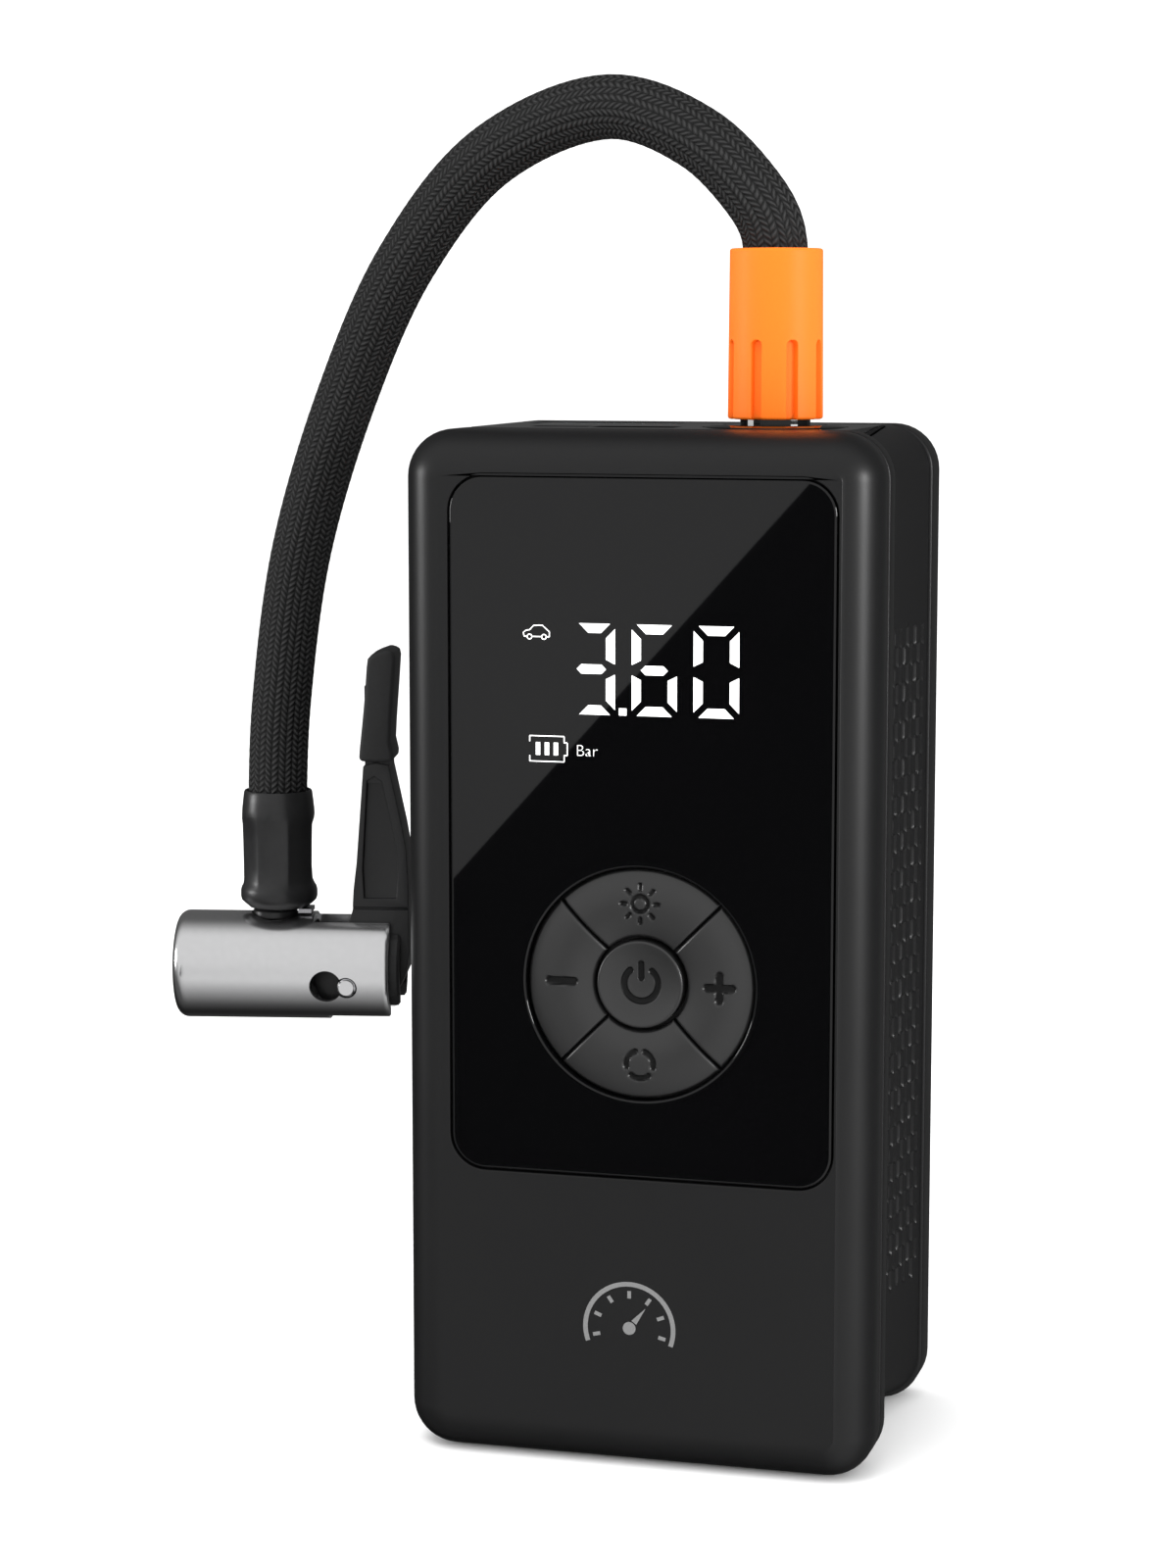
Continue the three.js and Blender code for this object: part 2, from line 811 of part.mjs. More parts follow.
function hoseSocket() {
  const base = topFloorZ + gap;
  const bore = 1.4;
  return turnedZ(
    [
      [bore, socketTail],
      [socketTailRadius, socketTail],
      [socketTailRadius, floorZ - 0.2],
      [socketRadius - 0.4, floorZ - 0.2],
      [socketRadius - 0.4, base],
      [flangeRadius, base],
      [flangeRadius, caseHeight + 0.4],
      [socketRadius, caseHeight + 0.4],
      [socketRadius, socketTop - 0.8],
      [socketRadius - 0.8, socketTop],
      [bore, socketTop],
      [bore, socketTail],
    ],
    outletX,
    outletY,
    28,
  );
}

function hoseCollar() {
  const socketBore = socketRadius + collarClearance;
  const hoseBore = hoseRadius + collarClearance;
  const chamfer = 0.5;
  const body = turnedZ(
    [
      [socketBore, collarBottom],
      [collarBottomRadius - chamfer, collarBottom],
      [collarBottomRadius, collarBottom + chamfer],
      [collarTopRadius, collarTop - chamfer],
      [collarTopRadius - chamfer, collarTop],
      [hoseBore + chamfer, collarTop],
      [hoseBore, collarTop - 3],
      [hoseBore, socketTop + 1.2],
      [socketBore, socketTop + 0.8],
      [socketBore, collarBottom],
    ],
    outletX,
    outletY,
    40,
  );
  const grooves = [];
  for (let number = 0; number < collarGrooves; number += 1) {
    const inner = collarBottomRadius - grooveDepth;
    const groove = box(
      inner, inner + 3, -grooveWidth / 2, grooveWidth / 2,
      collarBottom - through, collarBottom + grooveLength,
    );
    const turn = radians(-57 + (number * 360) / collarGrooves);
    grooves.push(groove.rotateZ(turn).translate(outletX, outletY, 0));
  }
  return cut(body, ...grooves);
}

// hose centreline: out of the collar, over the case and down behind its left side
const hoseRoute = new THREE.CatmullRomCurve3(
  [
    [outletX, outletY, 178.5],
    [outletX, outletY, 191],
    [15.3, 0.1, 197],
    [11.7, 0.4, 202.7],
    [3, 1.7, 210.7],
    [-12.2, 4.6, 216],
    [-33.8, 9.9, 208.9],
    [-50.7, 15.9, 191.9],
    [-63.5, 21.6, 169.4],
    [-73.5, 24.9, 142],
    [-77.5, chuckPlace[1], 116],
    [chuckPlace[0], chuckPlace[1], 101],
    [chuckPlace[0], chuckPlace[1], chuckPlace[2] + ferruleBore + gap],
  ].map(([x, y, z]) => new THREE.Vector3(x, y, z)),
);

function hose() {
  const section = new THREE.Shape();
  for (let side = 0; side < hoseSides; side += 1) {
    const angle = (side * 2 * Math.PI) / hoseSides;
    const place = [hoseRadius * Math.cos(angle), hoseRadius * Math.sin(angle)];
    if (side === 0) {
      section.moveTo(...place);
    } else {
      section.lineTo(...place);
    }
  }
  return new THREE.ExtrudeGeometry(section, {
    steps: hoseSteps,
    bevelEnabled: false,
    extrudePath: hoseRoute,
  });
}

part('socket_bezel', socketBezel(), glossBlack);
part('hose_socket', hoseSocket(), glossBlack);
part('hose_collar', hoseCollar(), orange);
part('hose', hose(), braid);

// ---------------------------------------------------------------- chuck, in its own frame

function hoseFerrule() {
  const bore = hoseRadius + ferruleClearance;
  return turnedZ(
    [
      [0, ferruleBottom],
      [5.2, ferruleBottom],
      [6.7, ferruleBottom + 1.6],
      [6.7, ferruleBottom + 2.6],
      [6.2, ferruleBottom + 3.8],
      [6.4, ferruleShoulder],
      [bore + 0.4, ferruleTop],
      [bore, ferruleTop],
      [bore, ferruleBore],
      [0, ferruleBore],
    ],
    0,
    0,
    16,
  );
}

function hoseNeck() {
  return turnedZ(
    [
      [0, neckBottom],
      [neckRadius - 0.6, neckBottom],
      [neckRadius, neckBottom + 0.6],
      [neckRadius, ferruleBottom - gap],
      [0, ferruleBottom - gap],
    ],
    neckX,
    0,
    20,
  );
}

function chuckBarrel() {
  const edge = 1.8;
  const inner = barrelRadius - barrelWall;
  const tube = turnedX(
    [
      [inner, barrelLeft + barrelLip],
      [inner, barrelRight],
      [barrelRadius - 0.3, barrelRight],
      [barrelRadius, barrelRight - 0.3],
      [barrelRadius, barrelLeft + edge],
      [barrelRadius - 0.5, barrelLeft + 0.5],
      [barrelRadius - edge, barrelLeft],
      [inner - barrelLip, barrelLeft],
      [inner, barrelLeft + barrelLip],
    ],
    0,
    0,
    40,
  );
  const slot = leverThickness / 2 + leverSideGap;
  const outside = barrelRadius + through;
  return cut(
    tube,
    cylinderZ(neckRadius + gap, 0, outside, neckX, 0, 24),
    box(topSlotStart, barrelRight + through, -slot, slot, 0, outside),
    box(bottomSlotStart, barrelRight + through, -slot, slot, -outside, 0),
    cylinderY(keyholeRadius, -outside, outside, keyholeX, pinZ + 0.2, 24),
    cylinderY(pinRadius + gap, -outside, outside, pinX, pinZ, 16),
    box(keyholeX, pinX, -outside, outside, pinZ - 1.2, pinZ + 1.4),
  );
}

function chuckSeal() {
  const outer = barrelRadius - barrelWall - gap;
  const face = outer - barrelLip; // the face shows inside the barrel's turned-in mouth
  const left = barrelLeft + barrelLip + 0.1;
  return turnedX(
    [
      [sealBore, left],
      [sealBore, left + sealThickness],
      [outer, left + sealThickness],
      [outer, left + outer - face],
      [face, left],
      [sealBore, left],
    ],
    0,
    0,
    32,
  );
}

/** Sliding cartridge that the lever's cam pushes against the seal. */
function cartridge() {
  const outer = barrelRadius - barrelWall - 0.4;
  const floor = cartridgeLeft + cartridgeRecess;
  const waist = outer - 1.2;
  return turnedX(
    [
      [0, floor],
      [sealBore, floor],
      [sealBore, cartridgeLeft],
      [outer, cartridgeLeft],
      [outer, -4],
      [waist, -3],
      [waist, 1],
      [outer, 2],
      [outer, cartridgeRight - 1.5],
      [outer - 1.5, cartridgeRight],
      [0, cartridgeRight],
    ],
    0,
    0,
    28,
  );
}

function valveStem() {
  const floor = cartridgeLeft + cartridgeRecess;
  return turnedX(
    [
      [0, floor - 3.4],
      [valveStemRadius, floor - 3.4],
      [valveStemRadius, floor - gap],
      [0, floor - gap],
    ],
    0,
    0,
    12,
  );
}

/** Lever, drawn locked: arm along the hose, cam round the pin. */
function lever() {
  const half = leverThickness / 2;
  const arm = polygon([
    [pinX - 4, pinZ + 4],
    [11.2, 6.4],
    [13.4, 9.6],
    [14.2, 18],
    [15.6, 36],
    [20.1, leverTop],
    [23.2, 21.2],
    [23.5, 3],
    [21.5, -3.7],
    [pinX + 2, pinZ - 3.8],
  ]);
  const tongue = box(
    gripLeft + tongueInset, gripRight - tongueInset, -tongueHalf, tongueHalf,
    leverTop - through, tongueTop,
  );
  const cam = cylinderY(camRadius, -half, half, camX, camZ, 28);
  const bore = cylinderY(pinRadius + gap, -half - through, half + through, pinX, pinZ, 16);
  const panel = polygon([[16.2, 33.6], [18.9, 33.6], [21.6, 20.8], [21.4, 12.4], [15.3, 12.4]]);
  const panelDepth = 0.7;
  const recesses = [
    plateY(panel, -half - through, -half + panelDepth),
    plateY(panel, half - panelDepth, half + through),
  ];
  return cut(join(plateY(arm, -half, half), cam, tongue), bore, ...recesses);
}

function leverGrip() {
  const half = gripThickness / 2;
  const outline = new THREE.Shape();
  outline.moveTo(gripLeft, gripBottom);
  outline.lineTo(gripRight, gripBottom);
  outline.lineTo(gripRight - 0.5, 40.4);
  outline.lineTo(21.4, 55.2);
  outline.quadraticCurveTo(21.2, 56.6, 19.6, 56.4);
  outline.lineTo(17.6, 55.6);
  outline.quadraticCurveTo(16.6, 55.2, 16.4, 53.6);
  outline.lineTo(gripLeft, gripBottom);
  const pocket = box(
    gripLeft + tongueInset - gap, gripRight - tongueInset + gap,
    -tongueHalf - gap, tongueHalf + gap,
    gripBottom - through, tongueTop + gap,
  );
  return cut(plateY(outline, -half, half, 4), pocket);
}

function leverPin() {
  const reach = Math.sqrt(barrelRadius ** 2 - pinZ ** 2) - 0.1;
  return cylinderY(pinRadius, -reach, reach, pinX, pinZ, 16);
}

/** Black ring that closes the barrel's open end, slotted for the lever. */
function endRing() {
  const outer = barrelRadius - barrelWall - gap;
  const inner = outer - endRingWall;
  const left = barrelRight - 2.6;
  const ring = turnedX(
    [
      [inner, left],
      [inner, endRingEdge],
      [outer - 0.4, endRingEdge],
      [outer, endRingEdge - 0.4],
      [outer, left],
      [inner, left],
    ],
    0,
    0,
    32,
  );
  const slot = leverThickness / 2 + leverSideGap;
  const reach = outer + through;
  const side = (sign) => cut(
    ring,
    box(left - through, endRingEdge + through, -slot, slot, -reach, reach),
    box(
      left - through, endRingEdge + through,
      sign > 0 ? -reach : 0, sign > 0 ? 0 : reach, -reach, reach,
    ),
  );
  return [side(-1), side(1)];
}

/** Small bright stop plate between the neck and the lever's slot. */
function slotStop() {
  const left = neckX + neckRadius + gap + 0.2;
  return box(left, topSlotStart - 0.6, -2.4, 2.4, barrelRadius + 0.1, ferruleBottom - 0.1);
}

part('hose_ferrule', hoseFerrule(), matteBlack, chuck);
part('hose_neck', hoseNeck(), matteBlack, chuck);
part('chuck_barrel', chuckBarrel(), chromed, chuck);
part('chuck_seal', chuckSeal(), softBlack, chuck);
part('chuck_cartridge', cartridge(), matteBlack, chuck);
part('valve_stem', valveStem(), brassy, chuck);
part('lever', lever(), matteBlack, chuck);
part('lever_grip', leverGrip(), softBlack, chuck);
part('lever_pin', leverPin(), chromed, chuck);
const [frontRing, rearRing] = endRing();
part('end_bushing_front', frontRing, matteBlack, chuck);
part('end_bushing_rear', rearRing, matteBlack, chuck);
part('slot_stop', slotStop(), steel, chuck);

// ---------------------------------------------------------------- motor, gears and pump

/** Spur gear round the X axis; phase turns its first tooth away from +Z, in tooth pitches. */
function gearBlank(teeth, x0, x1, z, phase) {
  const pitchRadius = (gearModule * teeth) / 2;
  const tip = pitchRadius + toothAddendum;
  const root = pitchRadius - toothDedendum;
  const pitch = (2 * Math.PI) / teeth;
  const shape = new THREE.Shape();
  const corners = [[root, -0.29], [tip, -0.11], [tip, 0.11], [root, 0.29]];
  for (let tooth = 0; tooth < teeth; tooth += 1) {
    for (const [radius, share] of corners) {
      const angle = (tooth + share + phase) * pitch + Math.PI / 2;
      const x = radius * Math.cos(angle);
      const y = radius * Math.sin(angle);
      if (tooth === 0 && share === corners[0][1]) {
        shape.moveTo(x, y);
      } else {
        shape.lineTo(x, y);
      }
    }
  }
  // the outline's x becomes +Y and its y becomes +Z
  return new THREE.ExtrudeGeometry(shape, { depth: x1 - x0, bevelEnabled: false })
    .rotateZ(Math.PI / 2)
    .rotateY(Math.PI / 2)
    .translate(x0, pumpY, z);
}

function motor() {
  const left = motorRight - motorLength;
  const boss = 4;
  const can = cylinderX(motorRadius, left, motorRight, pumpY, motorZ, 28);
  const rear = cylinderX(boss, left - 1.5, left + 1, pumpY, motorZ, 16);
  const bore = cylinderX(motorShaft + gap, motorRight - 3, motorRight + through, pumpY, motorZ, 12);
  return cut(join(can, rear), bore);
}

function motorPinion() {
  return join(
    gearBlank(pinionTeeth, gearLeft, gearRight, motorZ, 0.5),
    cylinderX(motorShaft, motorRight - 2.4, gearLeft + 1, pumpY, motorZ, 12),
  );
}

function crankGear() {
  const blank = gearBlank(gearTeeth, gearLeft, gearRight, gearZ, 0);
  const bore = cylinderX(
    gearShaftRadius + gap, gearLeft - through, gearRight + through, pumpY, gearZ, 16,
  );
  const pin = cylinderX(
    crankPinRadius, gearRight - 1, gearRight + crankPinLength, pumpY, crankPinZ, 16,
  );
  return join(cut(blank, bore), pin);
}

/** Steel plate that carries the motor, the gear shaft and the cylinder. */
function gearPlate() {
  const halfPlate = 14;
  const plate = box(
    plateLeft, plateRight, pumpY - halfPlate, pumpY + halfPlate,
    motorZ - 12, cylinderBottom - gap,
  );
  const shaftHole = cylinderX(3, plateLeft - through, plateRight + through, pumpY, motorZ, 16);
  const flange = box(
    plateLeft, outletX + cylinderRadius, pumpY - 10, pumpY + 10,
    cylinderBottom - gap - plateThickness, cylinderBottom - gap,
  );
  const rodHole = box(
    rodLeft - 1, rodLeft + rodThickness + 1, pumpY - rodWidth / 2 - 1, pumpY + rodWidth / 2 + 1,
    cylinderBottom - gap - plateThickness - through, cylinderBottom + through,
  );
  const shaft = cylinderX(gearShaftRadius, plateRight - 0.5, gearRight, pumpY, gearZ, 16);
  return join(cut(join(plate, flange), shaftHole, rodHole), shaft);
}

function connectingRod() {
  const right = rodLeft + rodThickness;
  const eye = cylinderX(rodEye, rodLeft, right, pumpY, crankPinZ, 20);
  const bar = box(
    rodLeft, right, pumpY - rodWidth / 2, pumpY + rodWidth / 2, crankPinZ, pistonBottom - gap,
  );
  const hole = cylinderX(
    crankPinRadius + gap, rodLeft - through, right + through, pumpY, crankPinZ, 16,
  );
  return cut(join(eye, bar), hole);
}

part('motor', motor(), steel);
part('motor_pinion', motorPinion(), brassy);
part('crank_gear', crankGear(), nylon);
part('gear_plate', gearPlate(), steel);
part('connecting_rod', connectingRod(), nylon);
part(
  'piston',
  cylinderZ(
    cylinderBore - pistonClearance, pistonBottom, pistonBottom + pistonHeight, outletX, pumpY, 28,
  ),
  aluminium,
);
part(
  'cylinder',
  cut(
    cylinderZ(cylinderRadius, cylinderBottom, cylinderTop, outletX, pumpY, 28),
    cylinderZ(cylinderBore, cylinderBottom - through, cylinderTop + through, outletX, pumpY, 28),
  ),
  aluminium,
);
part(
  'cylinder_head',
  cut(
    cylinderZ(
      cylinderRadius, cylinderTop + gap, cylinderTop + gap + headHeight, outletX, pumpY, 28,
    ),
    cylinderZ(
      socketTailRadius + gap + 0.1, socketTail - gap * 2, floorZ, outletX, outletY, 16,
    ),
  ),
  aluminium,
);

// ---------------------------------------------------------------- battery

const cellBottom = trayBottom + trayFloor + gap;
const cellLength = motorZ - motorRadius - cellToMotor - cellBottom;

function batteryTray(bottom, top, recessBottom, recessTop) {
  const halfTray = cellPitch / 2 + cellRadius + 1;
  const block = box(
    -halfTray, halfTray, pumpY - cellRadius - 1, pumpY + cellRadius + 1, bottom, top,
  );
  const cups = [-1, 1].map((side) => cylinderZ(
    cellRadius + gap, recessBottom, recessTop, (side * cellPitch) / 2, pumpY, 24,
  ));
  return cut(block, ...cups);
}

part(
  'battery_tray',
  batteryTray(trayBottom, trayBottom + trayWall, trayBottom + trayFloor, caseHeight),
  matteBlack,
);
part(
  'battery_cap',
  batteryTray(
    cellBottom + cellLength + gap + trayFloor - trayWall,
    cellBottom + cellLength + gap + trayFloor,
    0,
    cellBottom + cellLength + gap,
  ),
  matteBlack,
);
[-1, 1].forEach((side, index) => {
  const x = (side * cellPitch) / 2;
  const cell = cylinderZ(cellRadius, cellBottom, cellBottom + cellLength, x, pumpY, 24);
  part(`battery_cell_${index + 1}`, cell, cellBlue);
});

export default inflator;
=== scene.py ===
"""Handheld tyre inflator: the fine visual model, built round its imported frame."""

import json
import math

import bpy
import numpy as np
from bpy.props import FloatProperty, FloatVectorProperty, IntProperty, PointerProperty
from mathutils import Matrix, Vector


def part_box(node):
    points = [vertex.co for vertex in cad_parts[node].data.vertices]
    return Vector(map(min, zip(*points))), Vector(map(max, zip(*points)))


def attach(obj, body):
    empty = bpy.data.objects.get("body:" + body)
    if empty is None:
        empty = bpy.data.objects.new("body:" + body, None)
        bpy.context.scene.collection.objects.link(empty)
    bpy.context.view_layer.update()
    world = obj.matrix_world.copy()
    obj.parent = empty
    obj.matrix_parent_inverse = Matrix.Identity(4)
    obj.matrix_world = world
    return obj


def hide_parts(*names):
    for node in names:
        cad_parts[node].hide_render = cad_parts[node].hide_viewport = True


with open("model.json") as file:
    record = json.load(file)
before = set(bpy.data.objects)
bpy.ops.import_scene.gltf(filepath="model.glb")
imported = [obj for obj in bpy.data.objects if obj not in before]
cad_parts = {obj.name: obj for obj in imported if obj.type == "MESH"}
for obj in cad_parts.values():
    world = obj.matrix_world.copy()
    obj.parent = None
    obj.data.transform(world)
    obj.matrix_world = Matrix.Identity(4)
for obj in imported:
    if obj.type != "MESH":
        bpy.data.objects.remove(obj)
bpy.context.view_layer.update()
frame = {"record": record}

bl_info = {
    "name": "Tyre inflator",
    "version": (1, 0, 0),
    "blender": (4, 5, 0),
    "location": "View3D > Sidebar > Inflator",
    "description": "Builds a handheld tyre inflator with a lit gauge, a hose and a lever chuck",
    "category": "Object",
}

MM = 0.001
TURN = 2 * math.pi

# ------------------------------------------------------------------ places read from the frame

SHELL_LOW, SHELL_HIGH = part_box("front_shell")
COVER_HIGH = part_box("rear_cover")[1]
PANEL_LOW, PANEL_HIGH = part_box("display_panel")
TOP_LOW, TOP_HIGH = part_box("top_panel")
COLLAR_LOW, COLLAR_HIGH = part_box("hose_collar")
LENS_LOW, LENS_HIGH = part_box("lamp_lens")



def box_middle(node, *axes):
    """Middle of a node's box along the given axes."""
    low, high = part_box(node)
    return tuple((low[k] + high[k]) / 2 for k in axes)


HALF_WIDTH = SHELL_HIGH[0]
HEIGHT = SHELL_HIGH[2]
FRONT = SHELL_LOW[1]
SEAM = SHELL_HIGH[1]
LIP = COVER_HIGH[1] - 7.3 * MM
BACK = COVER_HIGH[1]
PAD = box_middle("power_button", 0, 2)
OUTLET = box_middle("hose_collar", 0, 1)
PANEL_CORNER = 5.5 * MM
CAP_REAR = FRONT + 3 * MM
LIT_DEPTHS = (FRONT - 0.03 * MM, FRONT + 0.05 * MM)

# the chuck lies along its own X axis, turned a little away from the case's
CHUCK_TURN = math.radians(12)
PIN_LOCAL = (12.9 * MM, -2.5 * MM)
PIN_PLACE = Vector(
    next(j for j in frame["record"]["behaviour"]["joints"] if j["name"] == "lever_hinge")["pos_m"]
)
CHUCK_ALONG = Vector((math.cos(CHUCK_TURN), math.sin(CHUCK_TURN), 0))
CHUCK_PLACE = PIN_PLACE - CHUCK_ALONG * PIN_LOCAL[0] - Vector((0, 0, PIN_LOCAL[1]))
CHUCK = Matrix.Translation(CHUCK_PLACE) @ Matrix.Rotation(CHUCK_TURN, 4, "Z")

# hose centreline, the same points as the frame's tube
HOSE_ROUTE = (
    (OUTLET[0], OUTLET[1], 0.1785),
    (OUTLET[0], OUTLET[1], 0.191),
    (0.0153, 0.0001, 0.197),
    (0.0117, 0.0004, 0.2027),
    (0.003, 0.0017, 0.2107),
    (-0.0122, 0.0046, 0.216),
    (-0.0338, 0.0099, 0.2089),
    (-0.0507, 0.0159, 0.1919),
    (-0.0635, 0.0216, 0.1694),
    (-0.0735, 0.0249, 0.142),
    (-0.0775, 0.025, 0.116),
    (-0.0784, 0.025, 0.101),
    (-0.0784, 0.025, 0.093),
)


# ------------------------------------------------------------------ what a user would change


class CaseSettings(bpy.types.PropertyGroup):
    outline_radius: FloatProperty(
        name="Outline radius", description="Corner radius of the case's outline",
        default=7.5 * MM, unit="LENGTH",
    )
    front_rounding: FloatProperty(
        name="Front rounding", description="Radius between the front face and the sides",
        default=7 * MM, unit="LENGTH",
    )
    waist_inset: FloatProperty(
        name="Waist inset", description="How far the waist steps in behind the front band",
        default=5 * MM, unit="LENGTH",
    )
    waist_flare: FloatProperty(
        name="Waist flare", description="How much of the inset is won back at the rear cover",
        default=4.4 * MM, unit="LENGTH",
    )
    slot_pitch: FloatProperty(
        name="Slot pitch", description="Distance between two vent slots in a column",
        default=6.1 * MM, unit="LENGTH",
    )
    slot_columns: IntProperty(
        name="Slot columns", description="Columns of vent slots on each side", default=11,
    )
    plastic: FloatVectorProperty(
        name="Plastic", description="Colour of the satin case", subtype="COLOR",
        default=(0.006, 0.006, 0.0063),
    )
    glass: FloatVectorProperty(
        name="Glass", description="Colour behind the gloss panel", subtype="COLOR",
        default=(0.0018, 0.0018, 0.002),
    )


class ControlSettings(bpy.types.PropertyGroup):
    figure_height: FloatProperty(
        name="Figure height", description="Height of the lit figures",
        default=14.2 * MM, unit="LENGTH",
    )
    figure_stroke: FloatProperty(
        name="Figure stroke", description="Width of a lit segment",
        default=1.45 * MM, unit="LENGTH",
    )
    symbol_depth: FloatProperty(
        name="Symbol depth", description="How deep the symbols are sunk into the buttons",
        default=0.4 * MM, unit="LENGTH",
    )
    light: FloatVectorProperty(
        name="Light", description="Colour of the lit figures", subtype="COLOR",
        default=(1.0, 1.0, 1.0),
    )
    button: FloatVectorProperty(
        name="Button", description="Colour of the button pad", subtype="COLOR",
        default=(0.008, 0.008, 0.0082),
    )


class HoseSettings(bpy.types.PropertyGroup):
    diameter: FloatProperty(
        name="Diameter", description="Outer diameter of the braided hose",
        default=10.2 * MM, unit="LENGTH",
    )
    yarns: IntProperty(
        name="Yarns", description="Pairs of braid columns round the hose", default=13,
    )
    yarn_height: FloatProperty(
        name="Yarn height", description="How far a yarn stands proud of its neighbours",
        default=0.2 * MM, unit="LENGTH",
    )
    braid: FloatVectorProperty(
        name="Braid", description="Colour of the braid", subtype="COLOR",
        default=(0.02, 0.02, 0.0202),
    )
    collar: FloatVectorProperty(
        name="Collar", description="Colour of the screw collar", subtype="COLOR",
        default=(1.0, 0.18, 0.01),
    )


class ChuckSettings(bpy.types.PropertyGroup):
    barrel_radius: FloatProperty(
        name="Barrel radius", description="Outer radius of the barrel",
        default=9.5 * MM, unit="LENGTH",
    )
    barrel_wall: FloatProperty(
        name="Barrel wall", description="Wall thickness of the barrel",
        default=1.4 * MM, unit="LENGTH",
    )
    lever_thickness: FloatProperty(
        name="Lever thickness", description="Thickness of the lever along its pin",
        default=8.2 * MM, unit="LENGTH",
    )
    chrome: FloatVectorProperty(
        name="Chrome", description="Colour of the plated barrel", subtype="COLOR",
        default=(0.93, 0.93, 0.94),
    )


class StageSettings(bpy.types.PropertyGroup):
    lens: FloatProperty(
        name="Lens", description="Focal length of the camera", default=80.09,
        subtype="DISTANCE_CAMERA",
    )
    place: FloatVectorProperty(
        name="Camera place", description="Where the camera stands", unit="LENGTH", precision=4,
        default=(0.13767, -0.54722, 0.18209),
    )
    turn: FloatProperty(
        name="Camera turn", description="Turn of the view towards -X", subtype="ANGLE",
        default=math.radians(15.564),
    )
    tilt: FloatProperty(
        name="Camera tilt", description="Tilt of the view below the horizon", subtype="ANGLE",
        default=math.radians(7.593),
    )


# ------------------------------------------------------------------ meshes from arrays


def volume(points, faces):
    """Signed volume of a closed mesh, by the divergence theorem on its fans of triangles."""
    total = 0.0
    for group in faces:
        corners = points[group]
        for k in range(1, group.shape[1] - 1):
            cross = np.cross(corners[:, k], corners[:, k + 1])
            total += np.einsum("ij,ij->", corners[:, 0], cross)
    return total / 6


def make_object(name, points, faces, uvs=None):
    """Object whose mesh has these points and groups of equal-sided faces, facing out."""
    flip = volume(points, faces) < 0
    mesh = bpy.data.meshes.new(name)
    counts = np.concatenate([np.full(len(group), group.shape[1]) for group in faces])
    order = [group[:, ::-1] if flip else group for group in faces]
    corners = np.concatenate([group.ravel() for group in order])
    mesh.vertices.add(len(points))
    mesh.vertices.foreach_set("co", np.asarray(points, dtype=np.float32).ravel())
    mesh.loops.add(len(corners))
    mesh.loops.foreach_set("vertex_index", corners.astype(np.int32))
    mesh.polygons.add(len(counts))
    starts = np.concatenate([[0], np.cumsum(counts)[:-1]])
    mesh.polygons.foreach_set("loop_start", starts.astype(np.int32))
    if uvs is not None:
        layer = mesh.uv_layers.new(name="along")
        flat = np.concatenate([(uv[:, ::-1] if flip else uv).reshape(-1, 2) for uv in uvs])
        layer.data.foreach_set("uv", flat.astype(np.float32).ravel())
    mesh.update(calc_edges=True)
    mesh.validate()
    piece = bpy.data.objects.new(name, mesh)
    bpy.context.scene.collection.objects.link(piece)
    return piece


def rings_to_faces(rows, cols, loop, start=0):
    """Quads between neighbouring rings of a grid; loop also joins the last ring to the first."""
    index = np.arange(rows * cols).reshape(rows, cols) + start
    lower, upper = (index, np.roll(index, -1, 0)) if loop else (index[:-1], index[1:])
    sides = [lower, np.roll(lower, -1, 1), np.roll(upper, -1, 1), upper]
    return np.stack(sides, -1).reshape(-1, 4)


def skin(name, grid, loop=False, along=None):
    """
    Closed skin over a grid of rings. With loop the last ring meets the first; otherwise each end
    is closed by a fan round its mean point. along gives the rings' places for a UV map.
    """
    rows, cols, _ = grid.shape
    points = grid.reshape(-1, 3)
    quads = rings_to_faces(rows, cols, loop)
    faces, uvs = [quads], None
    if not loop:
        ends = np.stack([grid[0].mean(0), grid[-1].mean(0)])
        points = np.concatenate([points, ends])
        first, last = np.arange(cols), np.arange(cols) + (rows - 1) * cols
        tips = np.full(cols, rows * cols)
        start_fan = np.stack([np.roll(first, -1), first, tips], -1)
        end_fan = np.stack([last, np.roll(last, -1), tips + 1], -1)
        faces.append(np.concatenate([start_fan, end_fan]))
    if along is not None:
        u = np.arange(cols + 1) / cols
        v = np.asarray(along)
        u0, v0 = np.meshgrid(u[:-1], v[:-1])
        u1, v1 = np.meshgrid(u[1:], v[1:])
        corner = [(u0, v0), (u1, v0), (u1, v1), (u0, v1)]
        uvs = [np.stack([np.stack(pair, -1).reshape(-1, 2) for pair in corner], 1)]
        uvs.append(np.zeros((len(faces[1]), 3, 2)))
    return make_object(name, points, faces, uvs)


def patch_solid(name, top, floor_y):
    """Solid under a grid of points that faces the front: its border drops straight to floor_y."""
    rows, cols, _ = top.shape
    index = np.arange(rows * cols).reshape(rows, cols)
    quads = np.stack([index[:-1, :-1], index[1:, :-1], index[1:, 1:], index[:-1, 1:]], -1)
    border = np.concatenate([index[0, :-1], index[:-1, -1], index[-1, :0:-1], index[:0:-1, 0]])
    points = top.reshape(-1, 3)
    low = points[border].copy()
    low[:, 1] = floor_y
    base = np.arange(len(border)) + rows * cols
    wall = np.stack([border, np.roll(border, -1), np.roll(base, -1), base], -1)
    tip = np.full(len(border), rows * cols + len(border))
    fan = np.stack([base, np.roll(base, -1), tip], -1)
    points = np.concatenate([points, low, low.mean(0)[None]])
    return make_object(name, points, [np.concatenate([quads.reshape(-1, 4), wall]), fan])


